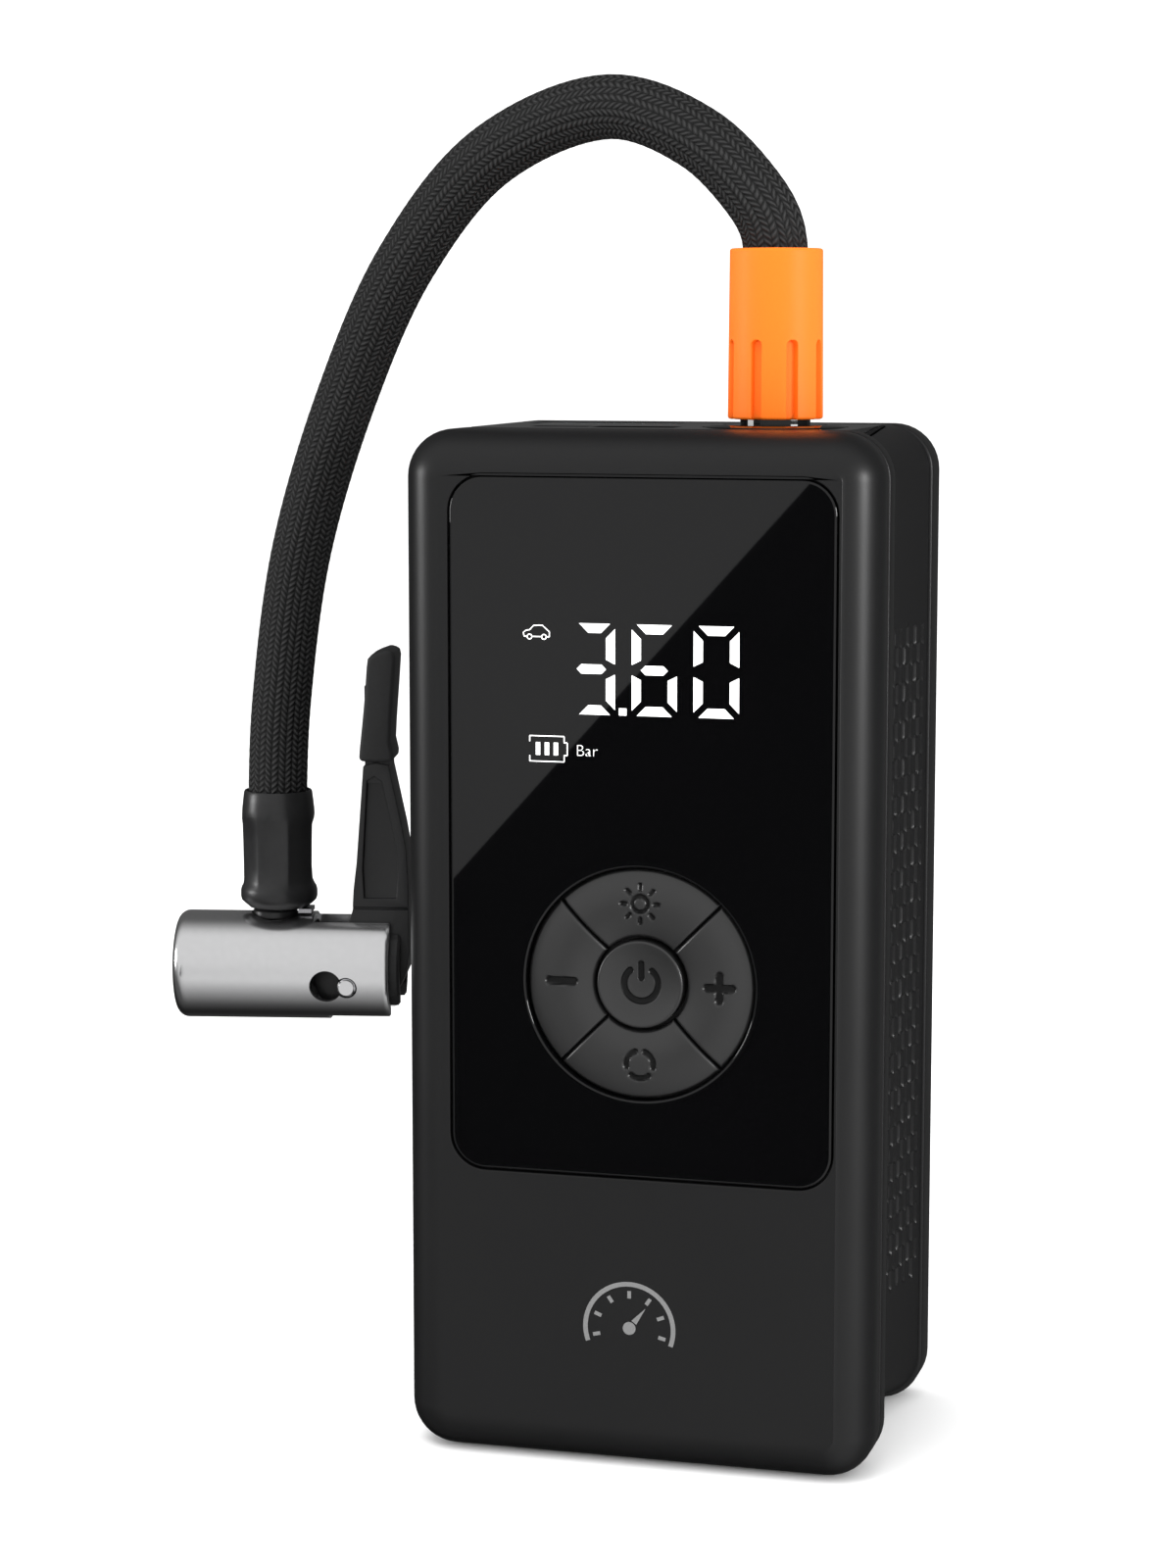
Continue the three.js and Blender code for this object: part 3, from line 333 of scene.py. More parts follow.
def turned(profile, sides, centre=(0.0, 0.0), axis="Z"):
    """Rings of a turned shape: each profile point (radius, height) goes round the axis."""
    profile = np.asarray(profile, dtype=float)
    angle = np.arange(sides) / sides * TURN
    across = profile[:, :1] * np.cos(angle)
    other = profile[:, :1] * np.sin(angle)
    height = np.repeat(profile[:, 1:], sides, 1)
    if axis == "Z":
        return np.stack([across + centre[0], other + centre[1], height], -1)
    if axis == "X":
        return np.stack([height, across + centre[0], other + centre[1]], -1)
    return np.stack([across + centre[0], height, other + centre[1]], -1)


def rounded_ring(left, right, low, high, radius, rise, run, corner=10):
    """
    Rounded rectangle in X and Z, anticlockwise from the front: straight sides at the given
    shares (rise up the sides, run along the top and bottom) joined by quarter circles.
    """
    quarter = np.arange(corner) / corner * math.pi / 2
    x0, x1, z0, z1 = left + radius, right - radius, low + radius, high - radius

    def arc(x, z, start):
        angle = start + quarter
        return np.stack([x + radius * np.cos(angle), z + radius * np.sin(angle)], -1)

    def side(xa, za, xb, zb, shares):
        return np.stack([xa + (xb - xa) * shares, za + (zb - za) * shares], -1)

    return np.concatenate([
        side(right, z0, right, z1, rise),
        arc(x1, z1, 0),
        side(x1, high, x0, high, run),
        arc(x0, z1, math.pi / 2),
        side(left, z1, left, z0, shares_down(rise)),
        arc(x0, z0, math.pi),
        side(x0, low, x1, low, run),
        arc(x1, z0, 1.5 * math.pi),
    ])


def shares_down(rise):
    """The same places as rise, counted from the other end, without the last one."""
    return np.concatenate([[0], 1 - rise[:0:-1]])


def at_depth(flat, y):
    """Points in X and Z, set at one depth."""
    return np.stack([flat[:, 0], np.full(len(flat), y), flat[:, 1]], -1)


def panel_ring(y, grow, rise, run, corner=10):
    """Ring of the gloss panel's outline at depth y, moved out by grow."""
    return at_depth(rounded_ring(
        PANEL_LOW[0] - grow, PANEL_HIGH[0] + grow, PANEL_LOW[2] - grow, PANEL_HIGH[2] + grow,
        PANEL_CORNER + grow, rise, run, corner,
    ), y)


def case_ring(y, inset, radius, rise, run, top=None, right=None):
    """Ring of the case's outline at depth y, moved in by inset; top and right may differ."""
    top = inset if top is None else top
    right = inset if right is None else right
    least_radius = 0.2 * MM
    return at_depth(rounded_ring(
        -HALF_WIDTH + inset, HALF_WIDTH - right, inset, HEIGHT - top,
        max(radius, least_radius), rise, run,
    ), y)


def plates(name, outlines, y0, y1):
    """Flat plates with the given X, Z outlines between two depths, as one object."""
    points, sides, caps, start = [], [], {}, 0
    for outline in outlines:
        outline = np.asarray(outline, dtype=float)
        count = len(outline)
        points += [at_depth(outline, y0), at_depth(outline, y1)]
        near = np.arange(count) + start
        far = near + count
        sides.append(np.stack([near, np.roll(near, -1), np.roll(far, -1), far], -1))
        caps.setdefault(count, []).extend([near[::-1], far])
        start += 2 * count
    faces = [np.concatenate(sides)] + [np.array(group) for group in caps.values()]
    return make_object(name, np.concatenate(points), faces)


def rect(x0, x1, z0, z1):
    """Outline of an upright rectangle, by its left, right, low and high sides."""
    return [(x0, z0), (x1, z0), (x1, z1), (x0, z1)]


def solid_box(x0, x1, y0, y1, z0, z1):
    """Plain block between two planes on each axis."""
    return plates("block", [rect(x0, x1, z0, z1)], y0, y1)


def edge_rings(depth, edge, steps, radius, rise, run, closing=False, **other):
    """Rounded edge of the case's outline: a quarter circle that opens, or closes, at depth."""
    rings = []
    for angle in np.linspace(0, math.pi / 2, steps):
        near, far = edge * (1 - math.sin(angle)), edge * (1 - math.cos(angle))
        inset, y = (far, depth - near) if closing else (near, depth + far)
        rings.append(case_ring(y, inset, radius - inset, rise, run, **other))
    return rings


def ribbon(path, width, closed=False):
    """Outlines of a stroke of one width along a path: one four-sided piece for each step."""
    path = np.asarray(path, dtype=float)
    ahead = np.roll(path, -1, 0) if closed else np.concatenate([path[1:], path[-1:]])
    behind = np.roll(path, 1, 0) if closed else np.concatenate([path[:1], path[:-1]])
    tangent = ahead - behind
    tangent /= np.linalg.norm(tangent, axis=1, keepdims=True)
    normal = np.stack([-tangent[:, 1], tangent[:, 0]], -1) * width / 2
    left, right = path + normal, path - normal
    steps = len(path) if closed else len(path) - 1
    following = (np.arange(steps) + 1) % len(path)
    return np.stack([left[:steps], right[:steps], right[following], left[following]], 1)


def circle(x, z, radius, count=24, start=0.0, end=TURN):
    """Points on an arc from start to end; a full turn leaves out its last point."""
    full = abs(end - start - TURN) < 1e-6
    angle = np.linspace(start, end, count, endpoint=not full)
    return np.stack([x + radius * np.cos(angle), z + radius * np.sin(angle)], -1)


def even(count):
    """Shares from 0 up to, but without, 1."""
    return np.arange(count) / count


def soft_step(share):
    """Smooth step from 0 to 1 for shares from 0 to 1."""
    return share * share * (3 - 2 * share)


def drop_at(distance, edge):
    """How far a rounded edge has dropped at a distance from the border."""
    close = np.clip(edge - distance, 0, edge)
    return edge - np.sqrt(np.maximum(edge**2 - close**2, 0))


# ------------------------------------------------------------------ finishing pieces


def shade(piece, values):
    """Stores one value for each of the piece's first points, for its material to read."""
    layer = piece.data.attributes.new("shade", "FLOAT", "POINT")
    full = np.zeros(len(piece.data.vertices), dtype=np.float32)
    full[: values.size] = np.asarray(values, dtype=np.float32).ravel()
    layer.data.foreach_set("value", full)


def place_in_mesh(piece, matrix):
    """Moves the mesh itself, so that the object stays at the origin."""
    piece.data.transform(matrix)
    piece.data.update()


def smooth(piece, angle):
    """Smooth faces, with a crease wherever two meet at more than the angle in degrees."""
    piece.data.polygons.foreach_set("use_smooth", np.ones(len(piece.data.polygons), dtype=bool))
    piece.data.set_sharp_from_angle(angle=math.radians(angle))


def subtract(piece, *cutters):
    """Cuts solids out of a piece with exact booleans, and removes the solids."""
    for cutter in cutters:
        tool = piece.modifiers.new("cut", "BOOLEAN")
        tool.operation = "DIFFERENCE"
        tool.solver = "EXACT"
        tool.object = cutter
    apply_modifiers(piece)
    for cutter in cutters:
        mesh = cutter.data
        bpy.data.objects.remove(cutter)
        bpy.data.meshes.remove(mesh)


def apply_modifiers(piece):
    """Takes the finished shape into the mesh and drops the modifiers."""
    depsgraph = bpy.context.evaluated_depsgraph_get()
    mesh = bpy.data.meshes.new_from_object(piece.evaluated_get(depsgraph))
    old = piece.data
    piece.modifiers.clear()
    piece.data = mesh
    bpy.data.meshes.remove(old)


def bevel(piece, width, segments, angle):
    """Rounds every edge that is sharper than the angle in degrees."""
    tool = piece.modifiers.new("edge", "BEVEL")
    tool.width = width
    tool.segments = segments
    tool.limit_method = "ANGLE"
    tool.angle_limit = math.radians(angle)
    apply_modifiers(piece)


def finish_piece(piece, material, body, slot, replaces=(), angle=35.0):
    """Material, smoothing, and the frame's body and replaced nodes for one piece; its slot is not
    used.
    """
    piece.data.materials.clear()
    piece.data.materials.append(material)
    smooth(piece, angle)
    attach(piece, body)
    if replaces:
        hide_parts(*replaces)


# ------------------------------------------------------------------ materials


def new_material(name):
    """Material of that name, its node tree and its shader; no tree if it is there already."""
    name = f"{name}_look"
    material = bpy.data.materials.get(name)
    if material is not None:
        return material, None, None
    material = bpy.data.materials.new(name)
    material.use_nodes = True
    tree = material.node_tree
    return material, tree, tree.nodes["Principled BSDF"]


def connect(tree, node, values):
    """Inputs of a node, by name or number: an output socket is linked, a constant is stored."""
    for key, value in values.items():
        if isinstance(value, bpy.types.NodeSocket):
            tree.links.new(value, node.inputs[key])
        else:
            node.inputs[key].default_value = value


def add_node(tree, kind, values=None, **settings):
    """New shader node with its settings and inputs."""
    node = tree.nodes.new(f"ShaderNode{kind}")
    for key, value in settings.items():
        setattr(node, key, value)
    connect(tree, node, values or {})
    return node


def noise(tree, place, scale, detail):
    """Noise at a place, as a value."""
    values = {"Vector": place, "Scale": scale, "Detail": detail}
    return add_node(tree, "TexNoise", values).outputs["Fac"]


def ranged(tree, value, low, high):
    """Value from 0 to 1, brought to the range from low to high."""
    values = {"Value": value, "To Min": low, "To Max": high}
    return add_node(tree, "MapRange", values).outputs["Result"]


def blend(tree, share, first, second):
    """Colour between two, by a share."""
    values = {0: share, 6: (*first, 1), 7: (*second, 1)}
    return add_node(tree, "Mix", values, data_type="RGBA").outputs[2]


def bumped(tree, height, strength, distance):
    """Normal tilted by the slope of a height."""
    values = {"Height": height, "Strength": strength, "Distance": distance}
    return add_node(tree, "Bump", values).outputs["Normal"]


def moulded(name, color, roughness, metallic=0.0, grain=2600.0, depth=0.06, spread=0.08,
            tone=0.25, coat=0.0, specular=0.5):
    """
    Moulded, plated or painted surface: fine grain in the normal, slow changes of roughness and a
    slight mottling of the colour, all from noise on object coordinates.
    """
    material, tree, shader = new_material(name)
    if tree is None:
        return material
    place = add_node(tree, "TexCoord").outputs["Object"]
    fine = noise(tree, place, grain, 3)
    slow = noise(tree, place, 55, 4)
    dark = [c * (1 - tone) for c in color]
    pale = [min(c * (1 + tone), 1) for c in color]
    connect(tree, shader, {
        "Base Color": blend(tree, fine, dark, pale),
        "Roughness": ranged(tree, slow, max(roughness - spread, 0.01), roughness + spread),
        "Normal": bumped(tree, fine, depth, 0.1 * MM),
        "Metallic": metallic,
        "Specular IOR Level": specular,
        "Coat Weight": coat,
    })
    return material


def brushed(name, color, roughness):
    """Machined or drawn metal: noise stretched along Z drives roughness and normal."""
    material, tree, shader = new_material(name)
    if tree is None:
        return material
    place = add_node(tree, "TexCoord").outputs["Object"]
    stretched = {"Vector": place, "Scale": (1.0, 1.0, 0.04)}
    drawn = add_node(tree, "Mapping", stretched).outputs["Vector"]
    lines = noise(tree, drawn, 4200, 2)
    connect(tree, shader, {
        "Base Color": (*color, 1),
        "Roughness": ranged(tree, lines, roughness * 0.7, roughness * 1.3),
        "Normal": bumped(tree, lines, 0.08, 0.02 * MM),
        "Metallic": 1.0,
    })
    return material


def braided(name, color, yarns):
    """
    Braid from the tube's own UV map: a triangle wave round the tube bends the yarns into columns
    of chevrons, a sine along the tube parts them, and a second sine sinks the seam of each column.
    The same height paints the base colour: painted shade in the grooves, painted highlight on the
    yarn crowns.
    """
    material, tree, shader = new_material(name)
    if tree is None:
        return material

    def step(operation, *values):
        return add_node(tree, "Math", dict(enumerate(values)), operation=operation).outputs[0]

    yarn_pitch, bend = 1.05 * MM, 12.0
    uv = add_node(tree, "UVMap", uv_map="along").outputs["UV"]
    split = add_node(tree, "SeparateXYZ", {0: uv}).outputs
    column = step("MULTIPLY", split["X"], yarns)
    slant = step("MULTIPLY", step("PINGPONG", column, 0.5), bend)
    phase = step("MULTIPLY_ADD", split["Y"], TURN / yarn_pitch, slant)
    yarn = step("MULTIPLY_ADD", step("SINE", phase), 0.5, 0.5)
    seam = step("ABSOLUTE", step("SINE", step("MULTIPLY", column, TURN)))
    height = step("MULTIPLY", yarn, step("POWER", seam, 0.5))
    # base colour from the braid height: painted shade in the grooves, painted highlight on the yarn
    # crowns
    connect(tree, shader, {
        "Base Color": blend(tree, height, [c * 0.15 for c in color], [c * 1.5 for c in color]),
        "Normal": bumped(tree, height, 0.9, 0.25 * MM),
        "Roughness": 0.55,
        "Specular IOR Level": 0.3,
    })
    return material


def lit(name, color, strength):
    """Lit surface whose strength varies a little with noise on object coordinates."""
    material, tree, shader = new_material(name)
    if tree is None:
        return material
    place = add_node(tree, "TexCoord").outputs["Object"]
    connect(tree, shader, {
        "Base Color": (*color, 1),
        "Emission Color": (*color, 1),
        "Emission Strength": ranged(
            tree, noise(tree, place, 900, 2), strength * 0.94, strength * 1.06,
        ),
        "Roughness": 0.4,
    })
    return material


def painted_shade(material, low, high, specular):
    """Painted shade: base colour and specular level go from low to high as the piece's shade goes
    from 0 to 1.
    """
    tree = material.node_tree
    if tree.nodes.get("shade") is not None:
        return material
    value = add_node(tree, "Attribute", name="shade", attribute_name="shade").outputs["Fac"]
    level = ranged(tree, value, low, high)
    shader = tree.nodes["Principled BSDF"]
    source = shader.inputs["Base Color"].links[0].from_socket
    scaled = add_node(tree, "VectorMath", {0: source, "Scale": level}, operation="SCALE")
    shaded_specular = add_node(tree, "Math", {0: level, 1: specular}, operation="MULTIPLY")
    connect(tree, shader, {
        "Base Color": scaled.outputs["Vector"], "Specular IOR Level": shaded_specular.outputs[0],
    })
    return material


def satin_black():
    """Plastic of the three shells."""
    color = bpy.context.scene.inflator_case.plastic
    return moulded(
        "satin_black", color, 0.36, grain=3200, depth=0.05, spread=0.05, tone=0.1, specular=0.38,
    )


def gloss_black():
    """Mirror-smooth panel and bezel."""
    color = bpy.context.scene.inflator_case.glass
    return moulded("gloss_black", color, 0.012, grain=400, depth=0.0, spread=0.002, tone=0.05)


def button_grey():
    """Button pad, with painted shade darkening it where a symbol is sunk into it."""
    color = bpy.context.scene.inflator_controls.button
    grey = moulded("button_grey", color, 0.38, grain=3600, depth=0.06, spread=0.04, tone=0.1)
    # painted shade: the sunk symbols get a darker base colour and less specular
    return painted_shade(grey, 1.0, 0.3, 0.95)


def matte_black():
    """Fine matt plastic."""
    return moulded("matte_black", (0.009, 0.009, 0.0095), 0.45, grain=2400, depth=0.12)


def soft_black():
    """Soft-touch rubber."""
    return moulded("soft_black", (0.012, 0.012, 0.0125), 0.62, grain=1800, depth=0.25)


def orange():
    """Plastic of the screw collar."""
    color = bpy.context.scene.inflator_hose.collar
    return moulded(
        "collar_orange", color, 0.5, grain=2800, depth=0.05, tone=0.04, specular=0.2,
    )


def chrome():
    """Plated metal of the barrel and the pin."""
    color = bpy.context.scene.inflator_chuck.chrome
    return moulded(
        "chrome", color, 0.2, metallic=1.0, grain=900, depth=0.012, spread=0.03, tone=0.03,
    )


def steel():
    """Brushed steel of the screws, ports and motor."""
    return brushed("plated_steel", (0.5, 0.5, 0.52), 0.3)


# ------------------------------------------------------------------ operators


class Builder:
    """What all the operators share."""

    bl_options = {"REGISTER", "UNDO"}


class INFLATOR_OT_front_shell(Builder, bpy.types.Operator):
    """Satin front shell: flat face, rounded edge, and the recess that holds the gloss panel"""

    bl_idname = "inflator.front_shell"
    bl_label = "Front shell"

    def execute(self, context):
        case = context.scene.inflator_case
        shares = even(14), even(8)
        edge, clear, lap = 0.12 * MM, 0.3 * MM, -1.5 * MM
        floor, inner = FRONT + 2 * MM, FRONT + 3.5 * MM
        wall = 2.2 * MM
        recess = [
            (floor, clear), (FRONT + edge, clear), (FRONT + edge * 0.3, clear + edge * 0.3),
            (FRONT, clear + edge), (FRONT, clear + edge * 2),
        ]
        rings = [panel_ring(y, grow, *shares) for y, grow in recess]
        radius = case.front_rounding
        # on the right the panel reaches a little into the rounding, so the flat face ends beside it
        beside = HALF_WIDTH - PANEL_HIGH[0] - clear - edge * 3
        rings.append(
            case_ring(FRONT, radius + edge, 0.4 * MM, *shares, right=beside + edge / 2)
        )
        for angle in np.linspace(math.pi / 2, 0, 21):
            inset = radius * (1 - math.cos(angle))
            y = FRONT + radius * (1 - math.sin(angle))
            corner = case.outline_radius - inset
            rings.append(case_ring(y, inset, corner, *shares, right=min(inset, beside)))
        rings += edge_rings(SEAM, 0.35 * MM, 5, case.outline_radius, *shares, closing=True)
        inside = case.outline_radius - wall
        rings += [case_ring(y, wall, inside, *shares) for y in (SEAM, inner)]
        rings += [panel_ring(y, lap, *shares) for y in (inner, floor)]
        piece = skin("front_shell_skin", np.stack(rings), loop=True)
        finish_piece(piece, satin_black(), "case", "satin_black", ["front_shell"], angle=28)
        self.gauge_mark(context)
        return {"FINISHED"}

    def gauge_mark(self, context):
        """Plain gauge pictogram low on the shell: a dial arc, its ticks and a needle."""
        middle = np.array([-0.3 * MM, 23.2 * MM])
        start, end, short = math.radians(-20), math.radians(200), 0.12
        outlines = list(ribbon(circle(*middle, 7.2 * MM, 49, start, end), 0.75 * MM))
        for angle in np.linspace(start + short, end - short, 7):
            ray = np.array([math.cos(angle), math.sin(angle)])
            tick = [middle + ray * reach * MM for reach in (4.9, 6.1)]
            outlines += list(ribbon(tick, 0.6 * MM))
        needle = math.radians(52)
        ray = np.array([math.cos(needle), math.sin(needle)]) * MM
        side = np.array([-ray[1], ray[0]]) * 0.5
        root = middle + ray * 1.25
        outlines.append(np.array([root + side, middle + ray * 4.4, root - side]))
        outlines.append(circle(*middle, 1.05 * MM, 24))
        piece = plates("gauge_mark", outlines, FRONT - 0.04 * MM, FRONT + 0.1 * MM)
        grey = moulded("mark_grey", (0.17, 0.17, 0.17), 0.4, grain=2000, depth=0.03, tone=0.05)
        finish_piece(piece, grey, "case", "satin_black")


class INFLATOR_OT_display(Builder, bpy.types.Operator):
    """Gloss panel with a hole for the button pad, and the lit figures and symbols on it"""

    bl_idname = "inflator.display"
    bl_label = "Display"

    def execute(self, context):
        edge, hole = 0.35 * MM, 18.55 * MM
        rear = PANEL_HIGH[1]

        def outline(inset, y):
            return panel_ring(y, -inset, even(70), even(44), 14)

        away = outline(0, rear)[:, ::2] - PAD
        away /= np.linalg.norm(away, axis=1, keepdims=True)

        def round_pad(radius, y):
            return at_depth(PAD + away * radius, y)

        quarter = np.linspace(0, math.pi / 2, 5)
        near, far = edge * (1 - np.sin(quarter)), edge * (1 - np.cos(quarter))
        rings = [outline(0, rear)]
        rings += [outline(inset, FRONT + drop) for inset, drop in zip(far, near)]
        rings += [outline(edge * 1.3, FRONT), round_pad(hole + edge * 1.3, FRONT)]
        rings += [round_pad(hole + inset, FRONT + drop) for inset, drop in zip(near, far)]
        rings.append(round_pad(hole, rear))
        piece = skin("gloss_panel", np.stack(rings), loop=True)
        finish_piece(piece, gloss_black(), "case", "gloss_black", ["display_panel"], angle=28)
        self.figures(context)
        self.symbols(context)
        return {"FINISHED"}

    def figures(self, context):
        """Seven-segment figures: bars with slanted ends, the middle one pointed at both."""
        controls = context.scene.inflator_controls
        stroke, height = controls.figure_stroke, controls.figure_height
        gap = 0.8 * MM
        base = 121.1 * MM
        middle, top = base + height / 2, base + height
        lit_segments = {"3": "abgcd", "6": "afgecd", "0": "abcdef"}
        outlines = []

        def across(left, right, edge, inward):
            inner = edge + inward * stroke
            return [(left + gap, edge), (right - gap, edge), (right - gap - stroke, inner),
                    (left + gap + stroke, inner)]

        def up(side, inward, edge, upward):
            inner = side + inward * stroke
            far = middle - upward * gap
            return [(side, edge + upward * gap), (inner, edge + upward * (gap + stroke)),
                    (inner, far - upward * stroke / 2), (side, far)]

        half = stroke / 2
        for figure, left, width in (("3", -9.3, 6.55), ("6", -0.05, 7.2), ("0", 9.8, 7.2)):
            left, right = left * MM, (left + width) * MM
            a, b = left + (gap / 2 if figure == "3" else stroke), right - stroke
            bars = {
                "a": across(left, right, top, -1), "d": across(left, right, base, 1),
                "g": [(a, middle), (a + half, middle + half), (b - half, middle + half),
                      (b, middle), (b - half, middle - half), (a + half, middle - half)],
                "b": up(right, -1, top, -1), "c": up(right, -1, base, 1),
                "f": up(left, 1, top, -1), "e": up(left, 1, base, 1),
            }
            outlines += [bars[segment] for segment in lit_segments[figure]]
        outlines.append(rect(-2.1 * MM, -0.9 * MM, base, base + 1.1 * MM))
        piece = plates("lit_figures", outlines, *LIT_DEPTHS)
        finish_piece(piece, self.glow(controls), "case", "white_module")

    def glow(self, controls):
        """Material of all that is lit."""
        return lit("figure_light", controls.light, 1.15)

    def symbols(self, context):
        """Car, battery and the unit: strokes of one width, and plain letters for the unit."""
        controls = context.scene.inflator_controls
        line = 0.145 * MM
        outlines = []
        car = np.array([
            (-2.3, -0.75), (-2.45, -0.1), (-2.0, 0.25), (-1.3, 0.4), (-0.6, 1.15), (1.0, 1.2),
            (1.85, 0.45), (2.25, 0.1), (2.25, -0.75),
        ]) * 0.9 * MM
        car_place = np.array([-15.35, 133.75]) * MM
        outlines += list(ribbon(car_place + car, line))
        for x in (-1.2, 1.15):
            wheel = car_place + np.array([x, -0.72]) * MM
            outlines += list(ribbon(circle(*wheel, 0.38 * MM, 18), line, closed=True))
        for x0, x1 in ((-2.07, -1.68), (-0.72, 0.67), (1.63, 2.03)):
            sill = [car_place + np.array([x, -0.69]) * MM for x in (x0, x1)]
            outlines += list(ribbon(sill, line))
        bx, bz = -13.75 * MM, 115.5 * MM
        w, h = 5.6 * MM / 2, 4.0 * MM / 2
        upper = [(bx - w, bz + 0.55 * h), (bx - w, bz + h), (bx + w, bz + h), (bx + w, bz + h / 2)]
        lower = [(bx + w, bz - h / 2), (bx + w, bz - h), (bx - w, bz - h), (bx - w, bz - 0.55 * h)]
        end = bx + w + 0.5 * MM
        cap = [(bx + w, bz + h / 2), (end, bz + h / 2), (end, bz - h / 2), (bx + w, bz - h / 2)]
        for path in (upper, lower, cap):
            for a, b in zip(path[:-1], path[1:]):
                outlines += list(ribbon([a, b], line))
        half_cell, half_tall = 0.34 * MM, 1 * MM
        for x in (bx - 1.45 * MM, bx, bx + 1.45 * MM):
            outlines.append(rect(x - half_cell, x + half_cell, bz - half_tall, bz + half_tall))
        glow = self.glow(controls)
        piece = plates("lit_symbols", outlines, *LIT_DEPTHS)
        finish_piece(piece, glow, "case", "white_module")
        words = bpy.data.curves.new("unit", "FONT")
        words.body = "Bar"
        words.size = 2.65 * MM
        words.extrude = 0.04 * MM
        words.offset = -0.075 * MM
        holder = bpy.data.objects.new("unit_text", words)
        context.scene.collection.objects.link(holder)
        mesh = bpy.data.meshes.new_from_object(
            holder.evaluated_get(context.evaluated_depsgraph_get())
        )
        bpy.data.objects.remove(holder)
        unit = bpy.data.objects.new("lit_unit", mesh)
        context.scene.collection.objects.link(unit)
        upright = Matrix.Rotation(math.pi / 2, 4, "X")
        place = Matrix.Translation((-9.1 * MM, FRONT + 0.01 * MM, 114.5 * MM))
        place_in_mesh(unit, place @ upright)
        finish_piece(unit, glow, "case", "white_module")


def to_segment(px, pz, a, b):
    """Distance from points to a straight stroke."""
    ab = np.array(b) - np.array(a)
    share = ((px - a[0]) * ab[0] + (pz - a[1]) * ab[1]) / (ab @ ab)
    share = np.clip(share, 0, 1)
    return np.hypot(px - a[0] - share * ab[0], pz - a[1] - share * ab[1])


def to_arc(px, pz, radius, start, end):
    """Distance from points to an arc about the origin; beyond its ends, to the end points."""
    angle = np.arctan2(pz, px)
    middle = (start + end) / 2
    off = np.abs((angle - middle + math.pi) % TURN - math.pi)
    on_arc = np.abs(np.hypot(px, pz) - radius)
    ends = [
        np.hypot(px - radius * math.cos(a), pz - radius * math.sin(a)) for a in (start, end)
    ]
    return np.where(off <= (end - start) / 2, on_arc, np.minimum(*ends))


def symbol_distance(kind, px, pz):
    """Distance in millimetres to the strokes of a button's symbol, about its own middle."""
    half_stroke = {"plus": 0.62, "minus": 0.62, "lamp": 0.3, "mode": 0.42, "power": 0.45}[kind]
    parts = []
    if kind in ("plus", "minus"):
        parts.append(to_segment(px, pz, (-2.0, 0), (2.0, 0)))
    if kind == "plus":
        parts.append(to_segment(px, pz, (0, -2.0), (0, 2.0)))
    if kind == "lamp":
        parts.append(np.abs(np.hypot(px, pz) - 1.25))
        for angle in even(8) * TURN:
            ray = np.array([math.cos(angle), math.sin(angle)])
            parts.append(to_segment(px, pz, ray * 2.35, ray * 3.0))
    if kind == "mode":
        for start in np.radians([-10, 110, 230]):
            parts.append(to_arc(px, pz, 2.2, start, start + math.radians(80)))
    if kind == "power":
        parts.append(to_arc(px, pz, 2.75, math.radians(-230), math.radians(50)))
        parts.append(to_segment(px, pz, (0, 0.9), (0, 3.2)))
    return np.minimum.reduce(parts) - half_stroke


def sunk(distance, depth):
    """Depth of an engraving: full inside the stroke, easing to nothing just outside it."""
    wall = 0.3
    return depth * soft_step(np.clip(0.5 - distance / wall, 0, 1))


def eased_ends(count, bunch=0.75):
    """Shares from 0 to 1 that crowd towards both ends."""
    t = np.linspace(0, 1, count)
    return t - bunch * np.sin(TURN * t) / TURN


